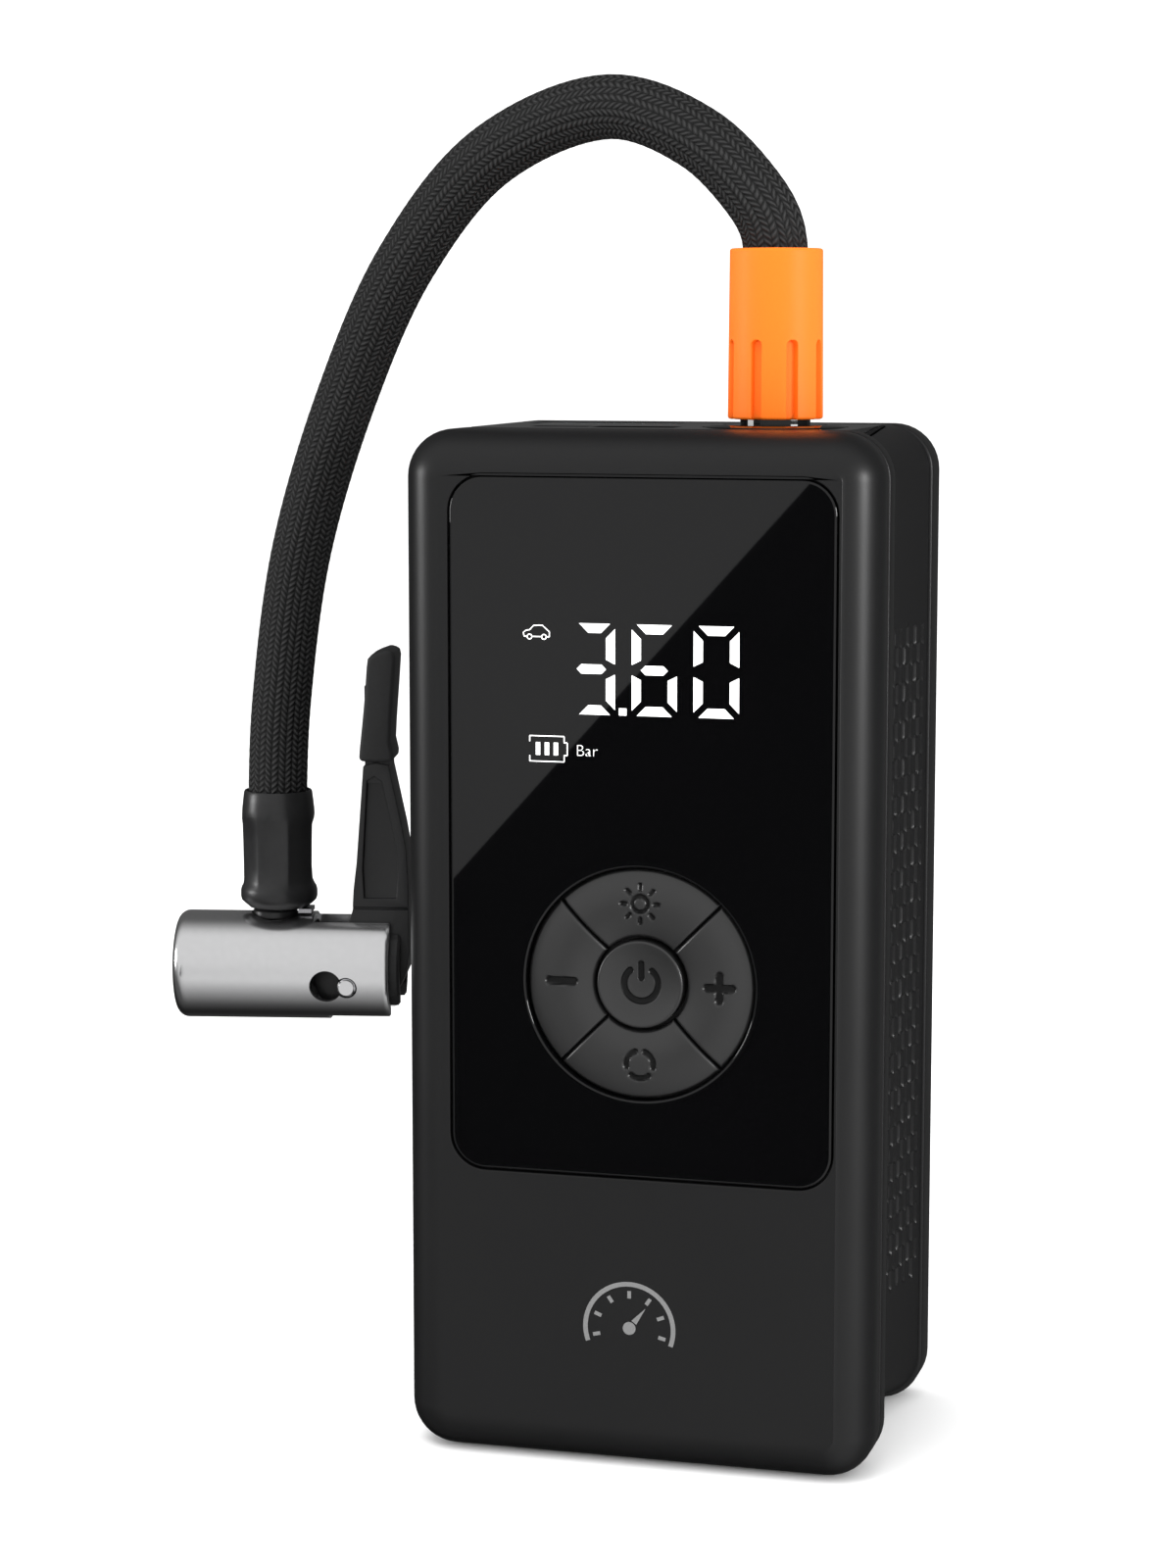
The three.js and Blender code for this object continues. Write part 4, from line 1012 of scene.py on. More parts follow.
class INFLATOR_OT_buttons(Builder, bpy.types.Operator):
    """Four crowned ring buttons and the dished power button, with symbols sunk into them"""

    bl_idname = "inflator.buttons"
    bl_label = "Buttons"

    def execute(self, context):
        depth = context.scene.inflator_controls.symbol_depth
        directions = {"plus": 0.0, "lamp": 0.25, "minus": 0.5, "mode": 0.75}
        for kind, share in directions.items():
            self.ring_button(kind, share * TURN, depth)
        self.power_button(depth)
        return {"FINISHED"}

    def ring_button(self, kind, direction, depth):
        """Quarter of a ring: a parabola across it, rounded borders, straight gaps between."""
        inner, outer, half_gap, edge, middle = 7.5, 18.3, 0.17, 0.55, 12.8
        r = inner + (outer - inner) * eased_ends(96)[:, None]
        limit = np.pi / 4 - np.arcsin(half_gap / r)
        angle = limit * (2 * eased_ends(176)[None, :] - 1)
        across = (r - inner) / (outer - inner)
        border = np.minimum(np.minimum(r - inner, outer - r), r * (limit - np.abs(angle)))
        x, z = r * np.cos(angle + direction), r * np.sin(angle + direction)
        symbol = symbol_distance(
            kind, x - middle * math.cos(direction), z - middle * math.sin(direction)
        )
        y = 0.12 + 0.85 * (2 * across - 1) ** 2 + drop_at(border, edge) + sunk(symbol, depth / MM)
        piece = patch_solid(f"{kind}_button_cap", self.placed(x, y, z), CAP_REAR)
        self.finish(piece, kind, symbol)

    def power_button(self, depth):
        """Round button: a shallow bowl with a rounded rim."""
        radius, edge = 6.95, 0.5
        flat = np.linspace(0.05, radius - edge, 64)
        rim = radius - edge + edge * np.sin(np.linspace(0.05, 1, 10) * math.pi / 2)
        r = np.concatenate([flat, rim])[:, None]
        angle = even(192)[None, :] * TURN
        x, z = r * np.cos(angle), r * np.sin(angle)
        symbol = symbol_distance("power", x, z)
        bowl = 1.1 * (1 - (r / radius) ** 2)
        y = 0.1 + bowl + drop_at(radius - r, edge) + sunk(symbol, depth / MM)
        top = self.placed(x, y, z)
        low = top[-1].copy()
        low[:, 1] = CAP_REAR
        piece = skin("power_button_cap", np.concatenate([top, low[None]]))
        self.finish(piece, "power", symbol)

    def placed(self, x, y, z):
        """Points in millimetres about the pad's middle, put in their place on the case."""
        return np.stack([PAD[0] + x * MM, FRONT + y * MM, PAD[1] + z * MM], -1)

    def finish(self, piece, kind, symbol):
        """Painted shade from the engraving, then the button's material, body and node."""
        shade(piece, sunk(symbol, 1))
        node = f"{kind}_button"
        finish_piece(piece, button_grey(), f"{node}_body", "button_rubber", [node])


class INFLATOR_OT_middle_shell(Builder, bpy.types.Operator):
    """Band, stepped-in waist with its rows of vent slots, and the recess for the top panel"""

    bl_idname = "inflator.middle_shell"
    bl_label = "Middle shell"

    def execute(self, context):
        case = context.scene.inflator_case
        pitch, columns = case.slot_pitch, case.slot_columns
        low, high = 18.0 * MM, 137.5 * MM
        radius = case.outline_radius
        straight = HEIGHT - 2 * radius
        fine = np.arange(low - radius, high - radius, pitch / 16) / straight
        rise = np.concatenate([[0], fine, np.linspace(fine[-1], 1, 5)[1:-1]])
        run = even(10)
        band_front, band_back = SEAM + 1 * MM, SEAM + 5 * MM
        lap = SEAM - 1.6 * MM
        clear = 2.5 * MM
        edge = 0.4 * MM
        rings = [case_ring(y, clear, radius - clear, rise, run) for y in (lap, band_front)]
        rings += edge_rings(band_front, edge, 5, radius, rise, run)
        rings += edge_rings(band_back, edge, 5, radius, rise, run, closing=True, top=0)
        end = LIP - 0.3 * MM
        plain = 0.45
        waist = np.concatenate([np.linspace(0, plain, 8), np.linspace(plain, 1, 90)[1:]])
        for share in waist:
            inset = case.waist_inset - case.waist_flare * share**2
            y = band_back + (end - band_back) * share
            rings.append(case_ring(y, inset, radius, rise, run, top=0))
        grid = np.stack(rings)
        self.sink_slots(grid, grid.shape[0] - len(waist), waist, low, high, pitch, columns)
        wall, floor, tight = 2.2 * MM, 3.2 * MM, 3.7 * MM
        last = case.waist_inset - case.waist_flare + wall
        inside = case.waist_inset + wall
        inner = [
            case_ring(y, inset, radius - wall, rise, run, top=floor)
            for y, inset in ((end, last), (band_back, inside), (band_front + wall, inside))
        ]
        inner += [
            case_ring(y, tight, radius - tight, rise, run) for y in (band_front + wall, lap)
        ]
        piece = skin("middle_shell_skin", np.concatenate([grid, np.stack(inner)]), loop=True)
        play, deep = 0.3 * MM, 6 * MM
        pocket = rounded_ring(
            TOP_LOW[0] - play, TOP_HIGH[0] + play, TOP_LOW[1] - play, TOP_HIGH[1] + play,
            4 * MM, even(2), even(2), 8,
        )
        recess = plates("recess", [pocket], -3 * MM, 0)
        flat = Matrix.Rotation(-math.pi / 2, 4, "X")
        place_in_mesh(recess, Matrix.Translation((0, 0, HEIGHT - 1.9 * MM)) @ flat)
        holes = []
        for node, grow in (("lamp_lens", -1.0 * MM), ("usb_c_port", play), ("usb_a_port", play)):
            lo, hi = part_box(node)
            holes.append(solid_box(
                lo[0] - grow, hi[0] + grow, lo[1] - grow, hi[1] + grow, HEIGHT - deep, HEIGHT,
            ))
        socket = [(6.2 * MM, HEIGHT - deep), (6.2 * MM, HEIGHT + 1 * MM)]
        holes.append(skin("bore", turned(socket, 64, OUTLET)))
        subtract(piece, recess, *holes)
        finish_piece(piece, satin_black(), "case", "satin_black", ["middle_shell"], angle=28)
        return {"FINISHED"}

    def sink_slots(self, grid, first, waist, low, high, pitch, columns):
        """
        Slots in staggered columns on the waist's two sides: each is a soft-edged pit whose depth
        is the product of one step across the column and one along it.
        """
        start, stop = 0.47, 0.97
        half_across, fade_across, half_along, fade_along = 0.34, 0.12, 0.27, 0.07
        share = (waist - start) / (stop - start)
        column = share * columns
        wide = np.clip((half_across - np.abs(column % 1 - 0.5)) / fade_across, 0, 1)
        wide[(share < 0) | (share >= 1)] = 0
        number = np.floor(column)[:, None]
        x, z = grid[first:, :, 0], grid[first:, :, 2]
        place = (z - low) / pitch + 0.5 * (number % 2)
        long = np.clip((half_along - np.abs(place % 1 - 0.5)) / fade_along, 0, 1)
        whole = (place > 1) & (place < np.floor((high - low) / pitch))
        inside = whole & (np.abs(x) > HALF_WIDTH - 6 * MM)
        x -= np.sign(x) * 0.9 * MM * wide[:, None] * long * inside


class INFLATOR_OT_rear_cover(Builder, bpy.types.Operator):
    """Rear cover: a tray with a rounded lip, and counterbores for the four screws"""

    bl_idname = "inflator.rear_cover"
    bl_label = "Rear cover"

    def execute(self, context):
        case = context.scene.inflator_case
        rise, run = even(10), even(6)
        radius = case.outline_radius
        inner, edge, lip = 2.8 * MM, 0.5 * MM, 1.3 * MM
        rings = [case_ring(y, inner, radius - inner, rise, run) for y in (BACK - 2 * MM, LIP)]
        rings += edge_rings(LIP, edge, 7, radius, rise, run)
        rings += edge_rings(BACK, lip, 7, radius, rise, run, closing=True)
        flat = lip + 0.6 * MM
        rings.append(case_ring(BACK, flat, radius - flat, rise, run))
        piece = skin("rear_cover_skin", np.stack(rings))
        bores = []
        for number in range(1, 5):
            profile = [(3.0 * MM, BACK - 3.6 * MM), (3.0 * MM, BACK - 0.3 * MM),
                       (3.3 * MM, BACK), (3.4 * MM, BACK + 1 * MM)]
            place = box_middle(f"cover_screw_{number}", 0, 2)
            bores.append(skin("bore", turned(profile, 40, place, axis="Y")))
        subtract(piece, *bores)
        finish_piece(piece, satin_black(), "case", "satin_black", ["rear_cover"], angle=28)
        return {"FINISHED"}


class INFLATOR_OT_collar(Builder, bpy.types.Operator):
    """Orange screw collar: a slightly tapered sleeve with eight grip grooves"""

    bl_idname = "inflator.collar"
    bl_label = "Hose collar"

    def execute(self, context):
        low, high = COLLAR_LOW[2] / MM, COLLAR_HIGH[2] / MM
        wide, narrow, edge, bore, socket = 7.6, 7.4, 0.45, 5.6, 6.1
        sides, grooves, half_groove, fade, groove_depth = 384, 8, 0.85, 0.22, 1.0
        curve = np.linspace(0, 1, 6) * math.pi / 2
        heights = np.concatenate([
            low + edge * (1 - np.cos(curve)),
            np.linspace(low + edge, low + 11, 12)[1:], np.linspace(low + 11, low + 14, 22)[1:],
            np.linspace(low + 14, high - edge, 14)[1:],
            high - edge * (1 - np.sin(curve)),
        ])
        radius = wide + (narrow - wide) * (heights - low) / (high - low)
        radius -= drop_at(np.minimum(heights - low, high - heights), edge)
        angle = even(sides) * TURN
        number = (angle - math.radians(-57)) / (TURN / grooves)
        offset = (number - np.round(number)) * (TURN / grooves)
        across = np.abs(offset)[None, :] * radius[:, None]
        reach = np.maximum(heights - (low + 11.6), 0)[:, None]
        share = np.clip((half_groove - np.hypot(across, reach)) / fade + 0.5, 0, 1)
        inside = np.array([bore + 0.6, bore, bore, socket, socket])
        ring = np.concatenate([
            radius[:, None] - groove_depth * soft_step(share),
            np.repeat(inside[:, None], sides, 1),
        ])
        heights = np.concatenate([heights, [high, high - 2.5, low + 12, low + 11.5, low]])
        grid = np.stack([
            OUTLET[0] + ring * np.cos(angle) * MM, OUTLET[1] + ring * np.sin(angle) * MM,
            np.repeat(heights[:, None], sides, 1) * MM,
        ], -1)
        piece = skin("screw_collar", grid, loop=True)
        finish_piece(piece, orange(), "collar_body", "orange", ["hose_collar"], angle=40)
        return {"FINISHED"}


def smooth_route(points, samples):
    """
    Centripetal Catmull-Rom curve through the points, by the Barry-Goldman pyramid: knots are
    spaced by the square root of the distance between points.
    """
    points = np.asarray(points, dtype=float)
    points = np.concatenate([[2 * points[0] - points[1]], points, [2 * points[-1] - points[-2]]])
    t = np.linspace(0, 1, samples)[:, None]
    pieces = []
    for k in range(1, len(points) - 2):
        p = points[k - 1:k + 3]
        knots = np.concatenate([[0], np.cumsum(np.linalg.norm(np.diff(p, axis=0), axis=1) ** 0.5)])
        u = knots[1] + (knots[2] - knots[1]) * t

        def between(a, b, ka, kb):
            return ((kb - u) * a + (u - ka) * b) / (kb - ka)

        a = [between(p[i], p[i + 1], knots[i], knots[i + 1]) for i in range(3)]
        b = [between(a[i], a[i + 1], knots[i], knots[i + 2]) for i in range(2)]
        pieces.append(between(b[0], b[1], knots[1], knots[2])[:-1])
    return np.concatenate(pieces + [points[-2:-1]])


def respaced(path, step):
    """The same path with points one even step apart, and their distance from the start."""
    travelled = np.concatenate([[0], np.cumsum(np.linalg.norm(np.diff(path, axis=0), axis=1))])
    places = np.linspace(0, travelled[-1], int(round(travelled[-1] / step)) + 1)
    return np.stack([np.interp(places, travelled, path[:, k]) for k in range(3)], -1), places


class INFLATOR_OT_hose(Builder, bpy.types.Operator):
    """Braided hose from the collar to the chuck's ferrule"""

    bl_idname = "inflator.hose"
    bl_label = "Hose"

    def execute(self, context):
        hose = context.scene.inflator_hose
        path, places = respaced(smooth_route(HOSE_ROUTE, 40), 0.36 * MM)
        tangent = np.gradient(path, axis=0)
        tangent /= np.linalg.norm(tangent, axis=1, keepdims=True)
        across = np.cross(tangent, [0.0, 1.0, 0.0])
        across /= np.linalg.norm(across, axis=1, keepdims=True)
        other = np.cross(across, tangent)
        sides = hose.yarns * 12
        angle = even(sides) * TURN
        height = self.braid(angle[None, :], places[:, None], hose)
        radius = hose.diameter / 2 - hose.yarn_height * 0.6 + height
        outward = (np.cos(angle)[:, None] * across[:, None]
                   + np.sin(angle)[:, None] * other[:, None])
        grid = path[:, None] + radius[..., None] * outward
        piece = skin("braided_hose", grid, along=places)
        yarn = braided("hose_braid", hose.braid, hose.yarns)
        finish_piece(piece, yarn, "case", "braid", ["hose"], angle=80)
        return {"FINISHED"}

    def braid(self, angle, place, hose):
        """Height of the braid: a sine rounds the columns, another dents them along the hose."""
        turns = hose.yarns * angle / TURN
        column = np.abs(np.sin(TURN * turns)) ** 0.6
        crossing = 0.92 + 0.08 * np.cos(TURN * (place / (1.9 * MM) + np.floor(2 * turns) / 2))
        return hose.yarn_height * column * crossing


def finish_chuck_piece(piece, *looks, **other):
    """Takes a piece from the chuck's own axes to its place, then finishes it."""
    place_in_mesh(piece, CHUCK)
    finish_piece(piece, *looks, **other)


class INFLATOR_OT_chuck(Builder, bpy.types.Operator):
    """Crimped ferrule, neck, chromed barrel with its slots and keyhole, lever, grip and pin"""

    bl_idname = "inflator.chuck"
    bl_label = "Chuck"

    def execute(self, context):
        chuck = context.scene.inflator_chuck
        self.ferrule()
        self.barrel(chuck)
        self.lever(chuck)
        self.grip()
        self.pin()
        return {"FINISHED"}

    def ferrule(self):
        """Turned sleeve whose middle is pressed into seven soft flats."""
        profile = np.array([
            (0.2, 24.0), (5.5, 24.0), (5.5, 31.0), (5.6, 31.2), (5.85, 31.2), (6.0, 30.9),
            (6.2, 29.3), (6.35, 27.9), (6.4, 27.0), (6.42, 26.2), (6.32, 25.2), (6.25, 22.0),
            (6.2, 18.0), (6.2, 15.4), (6.3, 14.6), (6.62, 14.0), (6.75, 13.4), (6.75, 12.4),
            (6.6, 11.8), (6.1, 11.3), (5.5, 10.8), (5.2, 10.5), (4.9, 10.4), (0.2, 10.4),
        ])
        sides = 128
        grid = turned(profile * MM, sides)
        angle = even(sides) * TURN
        flats = np.abs(np.cos(3.5 * (angle - 0.2)))
        low, high, fade = 14.5, 26.6, 1.5
        above = np.clip((profile[:, 1] - low) / fade, 0, 1)
        below = np.clip((high - profile[:, 1]) / fade, 0, 1)
        outside = (profile[:, 0] > 5.9) * (above * below)
        shrink = 1 - 0.075 * outside[:, None] * flats[None, :]
        grid[..., :2] *= shrink[..., None]
        piece = skin("crimp_ferrule", grid)
        rubber = moulded("ferrule_black", (0.012, 0.012, 0.0125), 0.33, grain=900, depth=0.08)
        finish_chuck_piece(piece, rubber, "case", "dark_plastic", ["hose_ferrule"])
        neck = [(0.1, 8.4), (3.2, 8.4), (3.75, 8.7), (3.9, 9.2), (3.9, 9.8), (3.6, 10.1),
                (0.1, 10.1)]
        piece = skin("neck_fitting", turned(np.array(neck) * MM, 64, (-0.7 * MM, 0)))
        finish_chuck_piece(piece, rubber, "case", "dark_plastic", ["hose_neck"])

    def barrel(self, chuck):
        """Turned tube; slots, keyhole and pin hole are cut out, then every new edge is eased."""
        r, wall = chuck.barrel_radius / MM, chuck.barrel_wall / MM
        left, right = -17.9, 20.3
        curve = 1.9
        nose = [(r - curve + curve * math.sin(a), left + curve - curve * math.cos(a))
                for a in np.linspace(0, math.pi / 2, 10)]
        profile = [(r - wall, left + 0.6), (r - wall - 0.6, left + 0.15), (r - wall - 0.5, left)]
        profile += nose[:-1] + [(r, x) for x in np.linspace(left + curve, right - 0.4, 64)]
        profile += [(r - 0.12, right - 0.12), (r - 0.4, right), (r - wall, right)]
        tube = skin("barrel_tube", turned(np.array(profile) * MM, 160, axis="X"), loop=True)
        half = 4.55 * MM
        out = (r + 1) * MM

        def hole(radius, x, z):
            path = [(radius * MM, -out), (radius * MM, out)]
            return skin("hole", turned(path, 64, (x * MM, z * MM), axis="Y"))

        saddle = np.array([(4.2, 0), (4.2, r + 1)]) * MM
        cutters = [
            skin("saddle", turned(saddle, 64, (-0.7 * MM, 0))),
            solid_box(6.6 * MM, out * 2.2, -half, half, 0, out),
            solid_box(9.2 * MM, out * 2.2, -half, half, -out, 0),
            hole(2.85, 9.3, -2.3),
            hole(1.9, 12.9, -2.5),
            solid_box(9.3 * MM, 12.9 * MM, -out, out, -3.7 * MM, -1.1 * MM),
        ]
        subtract(tube, *cutters)
        bevel(tube, 0.14 * MM, 2, 50)
        finish_chuck_piece(tube, chrome(), "case", "chrome", ["chuck_barrel"], angle=25)

    def lever(self, chuck):
        """Flat lever cut to its outline, with a sunk web panel on each side and eased edges."""
        half = chuck.lever_thickness / 2
        cam = circle(12.2, -1.75, 5.6, 30, math.radians(128), math.radians(300))
        root = [(9.9, 4.2), (11.4, 6.6), (13.0, 8.6), (13.5, 10.4), (13.7, 14), (14.3, 19)]
        outline = np.array([
            (15.6, 36), (17.8, 36.6), (20.1, 36.2), (20.7, 33.4), (22.4, 25.4), (23.1, 21.4),
            (23.4, 16), (23.5, 3), (22.9, -0.6), (21.6, -3.6), (19.6, -4.6), (16.4, -5.4),
        ])
        whole = np.concatenate([outline, cam[::-1], root]) * MM
        arm = plates("lever_arm", [whole], -half, half)
        web = np.array([
            (16.3, 33.4), (17.6, 34.2), (18.9, 33.2), (21.4, 21.0), (21.6, 16), (21.3, 12.6),
            (15.6, 12.6), (15.4, 18),
        ]) * MM
        line = np.array(rect(13.0, 24, 10.6, 11.0)) * MM
        beyond = half + 1 * MM
        bore = [(1.9 * MM, -half * 2), (1.9 * MM, half * 2)]
        tongue = solid_box(15.9 * MM, 20.2 * MM, -3.7 * MM, 3.7 * MM, 33 * MM, 50 * MM)
        subtract(
            arm,
            plates("web", [web], -beyond, -half + 0.7 * MM),
            plates("web", [web], half - 0.7 * MM, beyond),
            plates("groove", [line], -beyond, -half + 0.35 * MM),
            skin("bore", turned(bore, 48, PIN_LOCAL, axis="Y")),
        )
        bevel(arm, 0.4 * MM, 3, 40)
        finish_chuck_piece(arm, matte_black(), "lever_body", "dark_plastic", ["lever"])
        tongue.name = "lever_tongue"
        finish_chuck_piece(tongue, matte_black(), "lever_body", "dark_plastic")

    def grip(self):
        """Soft pad: rounded outline with generous edges."""
        half = 4.9 * MM
        outline = np.array([
            (14.9, 36.9), (17.5, 36.7), (20.9, 36.8), (21.0, 38.2), (20.5, 40.4), (20.7, 44),
            (21.0, 48), (21.3, 52), (21.5, 55.0), (21.3, 55.9), (20.6, 56.5), (19.6, 56.5),
            (18.2, 56.0), (17.2, 55.5), (16.6, 54.8), (16.4, 53.4), (16.0, 48), (15.5, 43),
            (15.1, 39.4),
        ]) * MM
        pad = plates("grip_pad", [outline], -half, half)
        bevel(pad, 0.75 * MM, 4, 40)
        finish_chuck_piece(pad, soft_black(), "lever_body", "soft_black", ["lever_grip"], angle=50)

    def pin(self):
        """Round pin with a small chamfer at each end."""
        reach, edge, radius, core = 9.15 * MM, 0.3 * MM, 1.6 * MM, 0.05 * MM
        profile = [(core, -reach), (radius - edge, -reach), (radius, -reach + edge),
                   (radius, reach - edge), (radius - edge, reach), (core, reach)]
        pin = skin("hinge_pin", turned(profile, 48, PIN_LOCAL, axis="Y"))
        finish_chuck_piece(pin, chrome(), "case", "chrome", ["lever_pin"])


class INFLATOR_OT_top(Builder, bpy.types.Operator):
    """Bezel round the hose socket, lamp reflector and port contacts on the top panel"""

    bl_idname = "inflator.top"
    bl_label = "Top panel details"

    def execute(self, context):
        base, flat, edge = HEIGHT - 1.5 * MM, HEIGHT + 0.4 * MM, 0.35 * MM
        inner, outer = 8.3 * MM, 11.4 * MM
        curve = [(outer - edge + edge * math.cos(a), HEIGHT - 0.2 * MM + edge * math.sin(a))
                 for a in np.linspace(0, math.pi / 2, 6)]
        profile = [(inner, base), (outer, base)] + curve
        profile += [(outer - 1.1 * MM, flat - 0.08 * MM), (outer - 1.5 * MM, flat),
                    (inner + 0.2 * MM, flat), (inner, flat - 0.15 * MM)]
        bezel = skin("socket_dish", turned(profile, 128, OUTLET), loop=True)
        finish_piece(bezel, gloss_black(), "case", "gloss_black", ["socket_bezel"])
        self.reflector()
        self.contacts()
        return {"FINISHED"}

    def reflector(self):
        """Bowl under the lamp's lens: a rounded rectangle that narrows as it goes down."""
        top, deep = LENS_LOW[2] - 0.25 * MM, 3.2 * MM

        def ring(inset, corner, z):
            flat = rounded_ring(
                LENS_LOW[0] + inset, LENS_HIGH[0] - inset, LENS_LOW[1] + inset,
                LENS_HIGH[1] - inset, corner, even(6), even(4), 6,
            )
            return np.stack([flat[:, 0], flat[:, 1], np.full(len(flat), z)], -1)

        rings = [ring((1.2 + 1.5 * share**2) * MM, 1.2 * MM, top - deep * share)
                 for share in np.linspace(0, 1, 12)[::-1]]
        rings += [ring(0.9 * MM, 1.4 * MM, z) for z in (top, top - 3.5 * MM)]
        bowl = skin("lamp_reflector", np.stack(rings))
        silver = moulded("reflector_silver", (0.8, 0.8, 0.82), 0.18, metallic=1.0, grain=600)
        finish_piece(bowl, silver, "case", "white_module")

    def contacts(self):
        """Gold contacts: four strips on the wide tongue, twelve on the narrow one."""
        gold = brushed("contact_gold", (0.9, 0.6, 0.2), 0.2)
        thick = 0.03 * MM
        for port, count, width, pitch, beside in (
            ("usb_a_port", 4, 1.0 * MM, 2.5 * MM, 0.28 * MM),
            ("usb_c_port", 12, 0.25 * MM, 0.5 * MM, -0.37 * MM),
        ):
            middle, y = box_middle(port, 0, 1)
            y += beside
            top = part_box(port)[1][2] - 1.05 * MM
            places = middle + (np.arange(count) - (count - 1) / 2) * pitch
            strips = [rect(x - width / 2, x + width / 2, top - 6 * MM, top) for x in places]
            name = port.replace("port", "contacts")
            piece = plates(name, strips, y - thick, y + thick)
            finish_piece(piece, gold, "case", "brass")


class INFLATOR_OT_carried_parts(Builder, bpy.types.Operator):
    """Materials of the parts that keep the frame's own shape"""

    bl_idname = "inflator.carried_parts"
    bl_label = "Carried-over parts"

    def execute(self, context):
        board = moulded("solder_mask", (0.012, 0.07, 0.03), 0.3, grain=700, coat=0.6)
        brass = brushed("turned_brass", (0.72, 0.5, 0.2), 0.25)
        cast = moulded(
            "cast_aluminium", (0.6, 0.6, 0.62), 0.42, metallic=1.0, grain=1500, depth=0.4,
        )
        nylon = moulded("nylon", (0.75, 0.72, 0.62), 0.5, grain=1200, depth=0.1)
        white = moulded("white_housing", (0.75, 0.76, 0.78), 0.4, grain=1500, depth=0.1)
        wrap = moulded("cell_wrap", (0.03, 0.11, 0.36), 0.3, grain=500, depth=0.1)
        lens = moulded("lamp_lens_clear", (0.85, 0.88, 0.9), 0.06, grain=500, depth=0.0, tone=0.02)
        shader = lens.node_tree.nodes["Principled BSDF"]
        shader.inputs["Transmission Weight"].default_value = 0.9
        shader.inputs["IOR"].default_value = 1.49
        materials = {
            "satin_black": satin_black(), "gloss_black": gloss_black(),
            "button_rubber": button_grey(), "dark_plastic": matte_black(),
            "soft_black": soft_black(), "orange": orange(), "chrome": chrome(),
            "steel": steel(), "brass": brass, "aluminium": cast, "nylon": nylon, "board": board,
            "white_module": white, "lens": lens, "cell_wrap": wrap,
        }
        for entry in frame["record"]["subparts"]:
            node = bpy.data.objects.get(entry["node"])
            material = materials.get(entry["material_slot"])
            if node is None or material is None:
                continue
            node.data.materials.clear()
            node.data.materials.append(material)
        return {"FINISHED"}


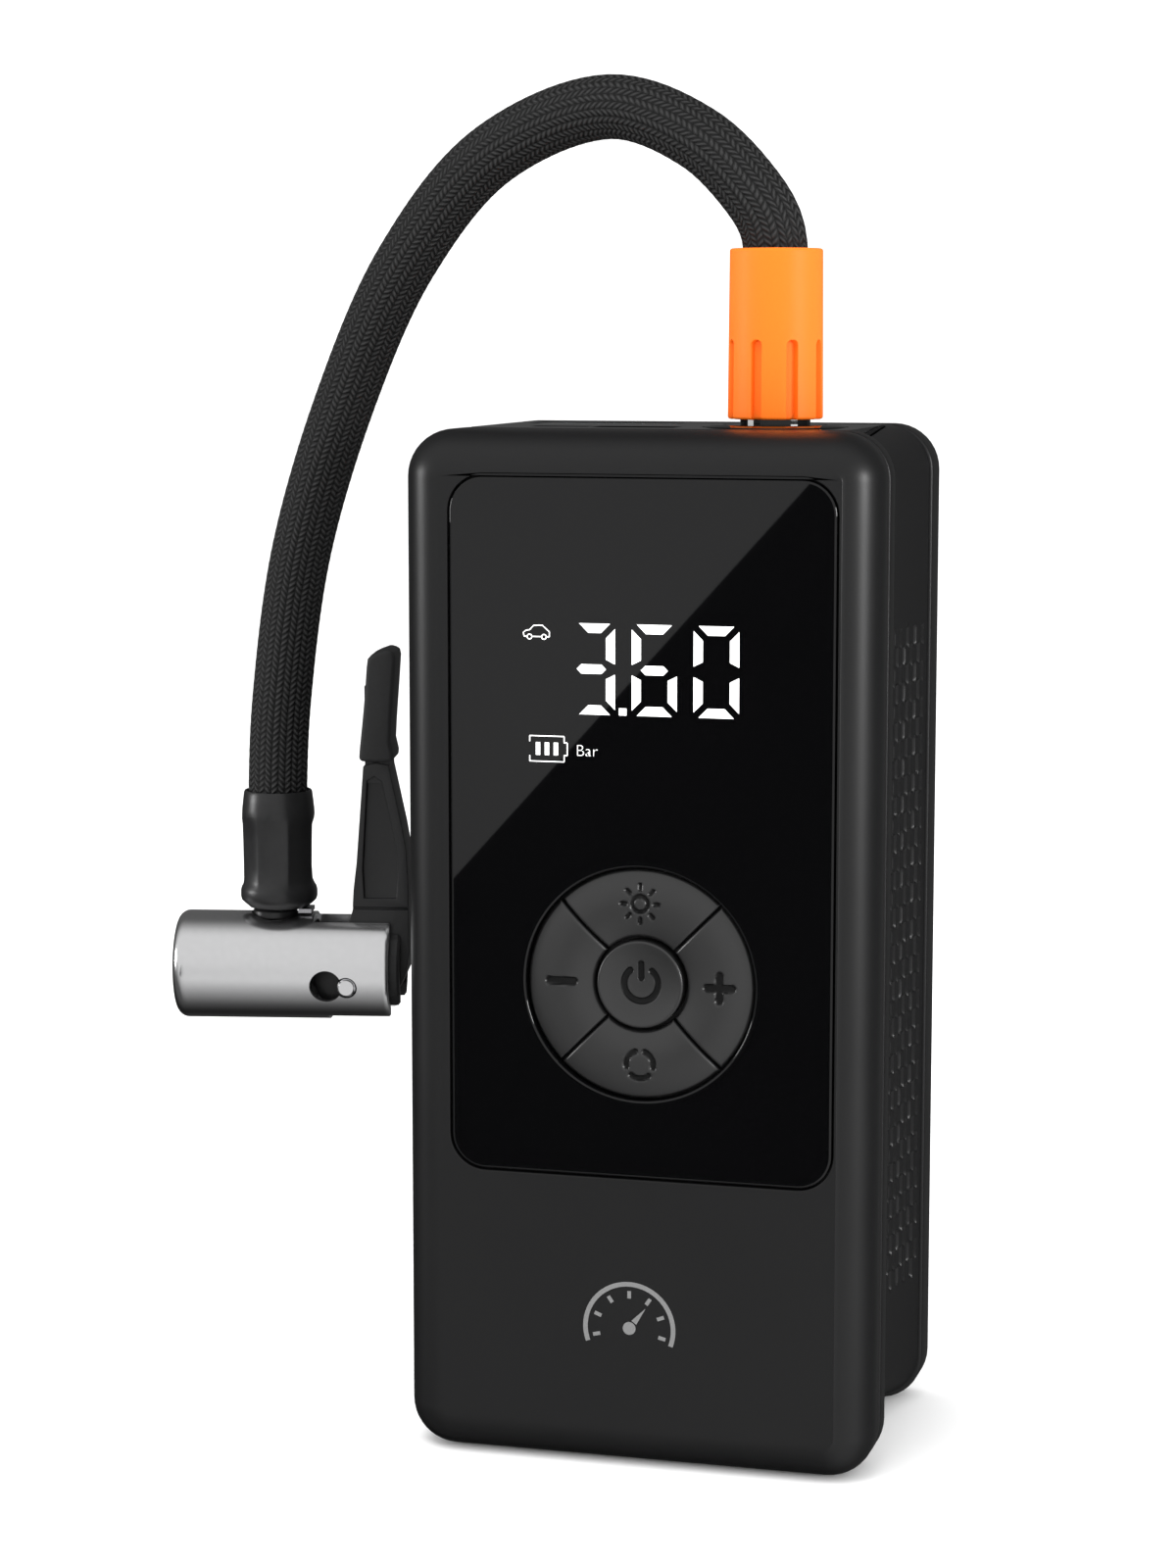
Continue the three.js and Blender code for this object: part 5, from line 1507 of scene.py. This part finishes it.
class INFLATOR_OT_stage(Builder, bpy.types.Operator):
    """Camera, pale floor, soft lights and the card that the gloss panel mirrors"""

    bl_idname = "inflator.stage"
    bl_label = "Stage"

    def execute(self, context):
        stage = context.scene.inflator_stage
        context.scene.view_settings.view_transform = "Standard"
        self.camera(context, stage)
        self.floor()
        self.world(context)
        self.light("left_light", (-1.25, -0.4, 0.25), 0.35, 4.5)
        self.light("right_light", (1.3, -0.45, 0.3), 0.35, 9.0)
        self.light("top_light", (-0.25, -0.5, 1.3), 0.8, 9.0, mirrored=False)
        self.flag()
        return {"FINISHED"}

    def camera(self, context, stage):
        """Camera at its place, turned and tilted about its own level axes."""
        data = bpy.data.cameras.new("camera")
        data.lens = stage.lens
        data.clip_start = 0.01
        camera = bpy.data.objects.new("camera", data)
        context.scene.collection.objects.link(camera)
        level = math.cos(stage.tilt)
        ahead = Vector((-math.sin(stage.turn) * level, math.cos(stage.turn) * level,
                        -math.sin(stage.tilt)))
        camera.location = stage.place
        camera.rotation_euler = ahead.to_track_quat("-Z", "Y").to_euler()
        context.scene.camera = camera

    def floor(self):
        """Pale slab whose top is at the height the case stands on."""
        half, thick = 6.0, 0.02
        floor = solid_box(-half, half, -half, half, -thick, 0)
        floor.name = "floor"
        paper = moulded("floor_white", (0.96, 0.96, 0.96), 0.9, grain=30, depth=0.0, tone=0.005,
                        specular=0.0)
        floor.data.materials.append(paper)
        floor.visible_glossy = False

    def world(self, context):
        """
        White cove for sight and soft light. Gloss mirrors a brighter front and a dark rear, low
        left darker still: one level rises towards -Y, the other away from low on the -X side.
        """
        world = bpy.data.worlds.new("studio")
        context.scene.world = world
        world.use_nodes = True
        tree = world.node_tree
        white = tree.nodes["Background"]
        connect(tree, white, {"Color": (1, 1, 1, 1), "Strength": 1.3})
        direction = add_node(tree, "TexCoord").outputs["Generated"]
        depth = add_node(tree, "SeparateXYZ", {0: direction}).outputs["Y"]
        frontal = add_node(tree, "MapRange", {
            "Value": depth, "From Min": 0.45, "From Max": -0.4, "To Min": 0.1, "To Max": 0.8,
        }, interpolation_type="SMOOTHSTEP")
        aside = add_node(
            tree, "VectorMath", {0: direction, 1: (0.7, 0.0, 0.7)}, operation="DOT_PRODUCT",
        )
        share = add_node(tree, "MapRange", {
            "Value": aside.outputs["Value"], "From Min": -0.8, "From Max": -0.28, "To Min": 0.12,
        })
        levels = {0: frontal.outputs["Result"], 1: share.outputs["Result"]}
        level = add_node(tree, "Math", levels, operation="MULTIPLY")
        mirrored = add_node(tree, "Background", {"Strength": level.outputs[0]})
        glossy = add_node(tree, "LightPath").outputs["Is Glossy Ray"]
        choose = add_node(
            tree, "MixShader", {0: glossy, 1: white.outputs[0], 2: mirrored.outputs[0]},
        )
        connect(tree, tree.nodes["World Output"], {"Surface": choose.outputs[0]})

    def light(self, name, place, size, power, mirrored=True):
        """Square soft light that faces the case's middle."""
        data = bpy.data.lights.new(name, "AREA")
        data.shape = "SQUARE"
        data.size = size
        data.energy = power
        lamp = bpy.data.objects.new(name, data)
        lamp.location = place
        lamp.visible_glossy = mirrored
        aim = Vector((0, 0, 0.11)) - Vector(place)
        lamp.rotation_euler = aim.to_track_quat("-Z", "Y").to_euler()
        bpy.context.scene.collection.objects.link(lamp)

    def flag(self):
        """Dark slanted flag in front, seen only in the gloss panel."""
        y = -1.5
        corners = [(-0.262, 0.111), (-0.545, -0.202), (-0.545, -0.42), (-0.19, -0.42),
                   (-0.19, 0.18), (-0.262, 0.18)]
        flag = plates("dark_flag", [corners], y - 0.01, y)
        cloth = moulded("flag_black", (0.002, 0.002, 0.002), 0.9, grain=30, depth=0.0, specular=0.0)
        flag.data.materials.append(cloth)
        flag.visible_camera = False
        flag.visible_diffuse = False
        flag.visible_shadow = False


class INFLATOR_PT_panel(bpy.types.Panel):
    """Sidebar with every setting and a button for each step"""

    bl_label = "Tyre inflator"
    bl_space_type = "VIEW_3D"
    bl_region_type = "UI"
    bl_category = "Inflator"

    def draw(self, context):
        """One button for each operator, then all the settings."""
        for operator in OPERATORS:
            self.layout.operator(operator.bl_idname)
        for name in SETTINGS:
            group = getattr(context.scene, name)
            for key in group.bl_rna.properties.keys():
                if key not in ("name", "rna_type"):
                    self.layout.prop(group, key)


SETTINGS = {
    "inflator_case": CaseSettings,
    "inflator_controls": ControlSettings,
    "inflator_hose": HoseSettings,
    "inflator_chuck": ChuckSettings,
    "inflator_stage": StageSettings,
}
OPERATORS = (
    INFLATOR_OT_stage,
    INFLATOR_OT_carried_parts,
    INFLATOR_OT_front_shell,
    INFLATOR_OT_display,
    INFLATOR_OT_buttons,
    INFLATOR_OT_middle_shell,
    INFLATOR_OT_rear_cover,
    INFLATOR_OT_top,
    INFLATOR_OT_collar,
    INFLATOR_OT_chuck,
    INFLATOR_OT_hose,
)


def register():
    for kind in (*SETTINGS.values(), *OPERATORS, INFLATOR_PT_panel):
        bpy.utils.register_class(kind)
    for name, kind in SETTINGS.items():
        setattr(bpy.types.Scene, name, PointerProperty(type=kind))


def unregister():
    for name in SETTINGS:
        delattr(bpy.types.Scene, name)
    for kind in reversed((*SETTINGS.values(), *OPERATORS, INFLATOR_PT_panel)):
        bpy.utils.unregister_class(kind)


def main():
    register()
    for operator in OPERATORS:
        name = operator.bl_idname.split(".")[1]
        getattr(bpy.ops.inflator, name)()


if __name__ == "__main__":
    main()
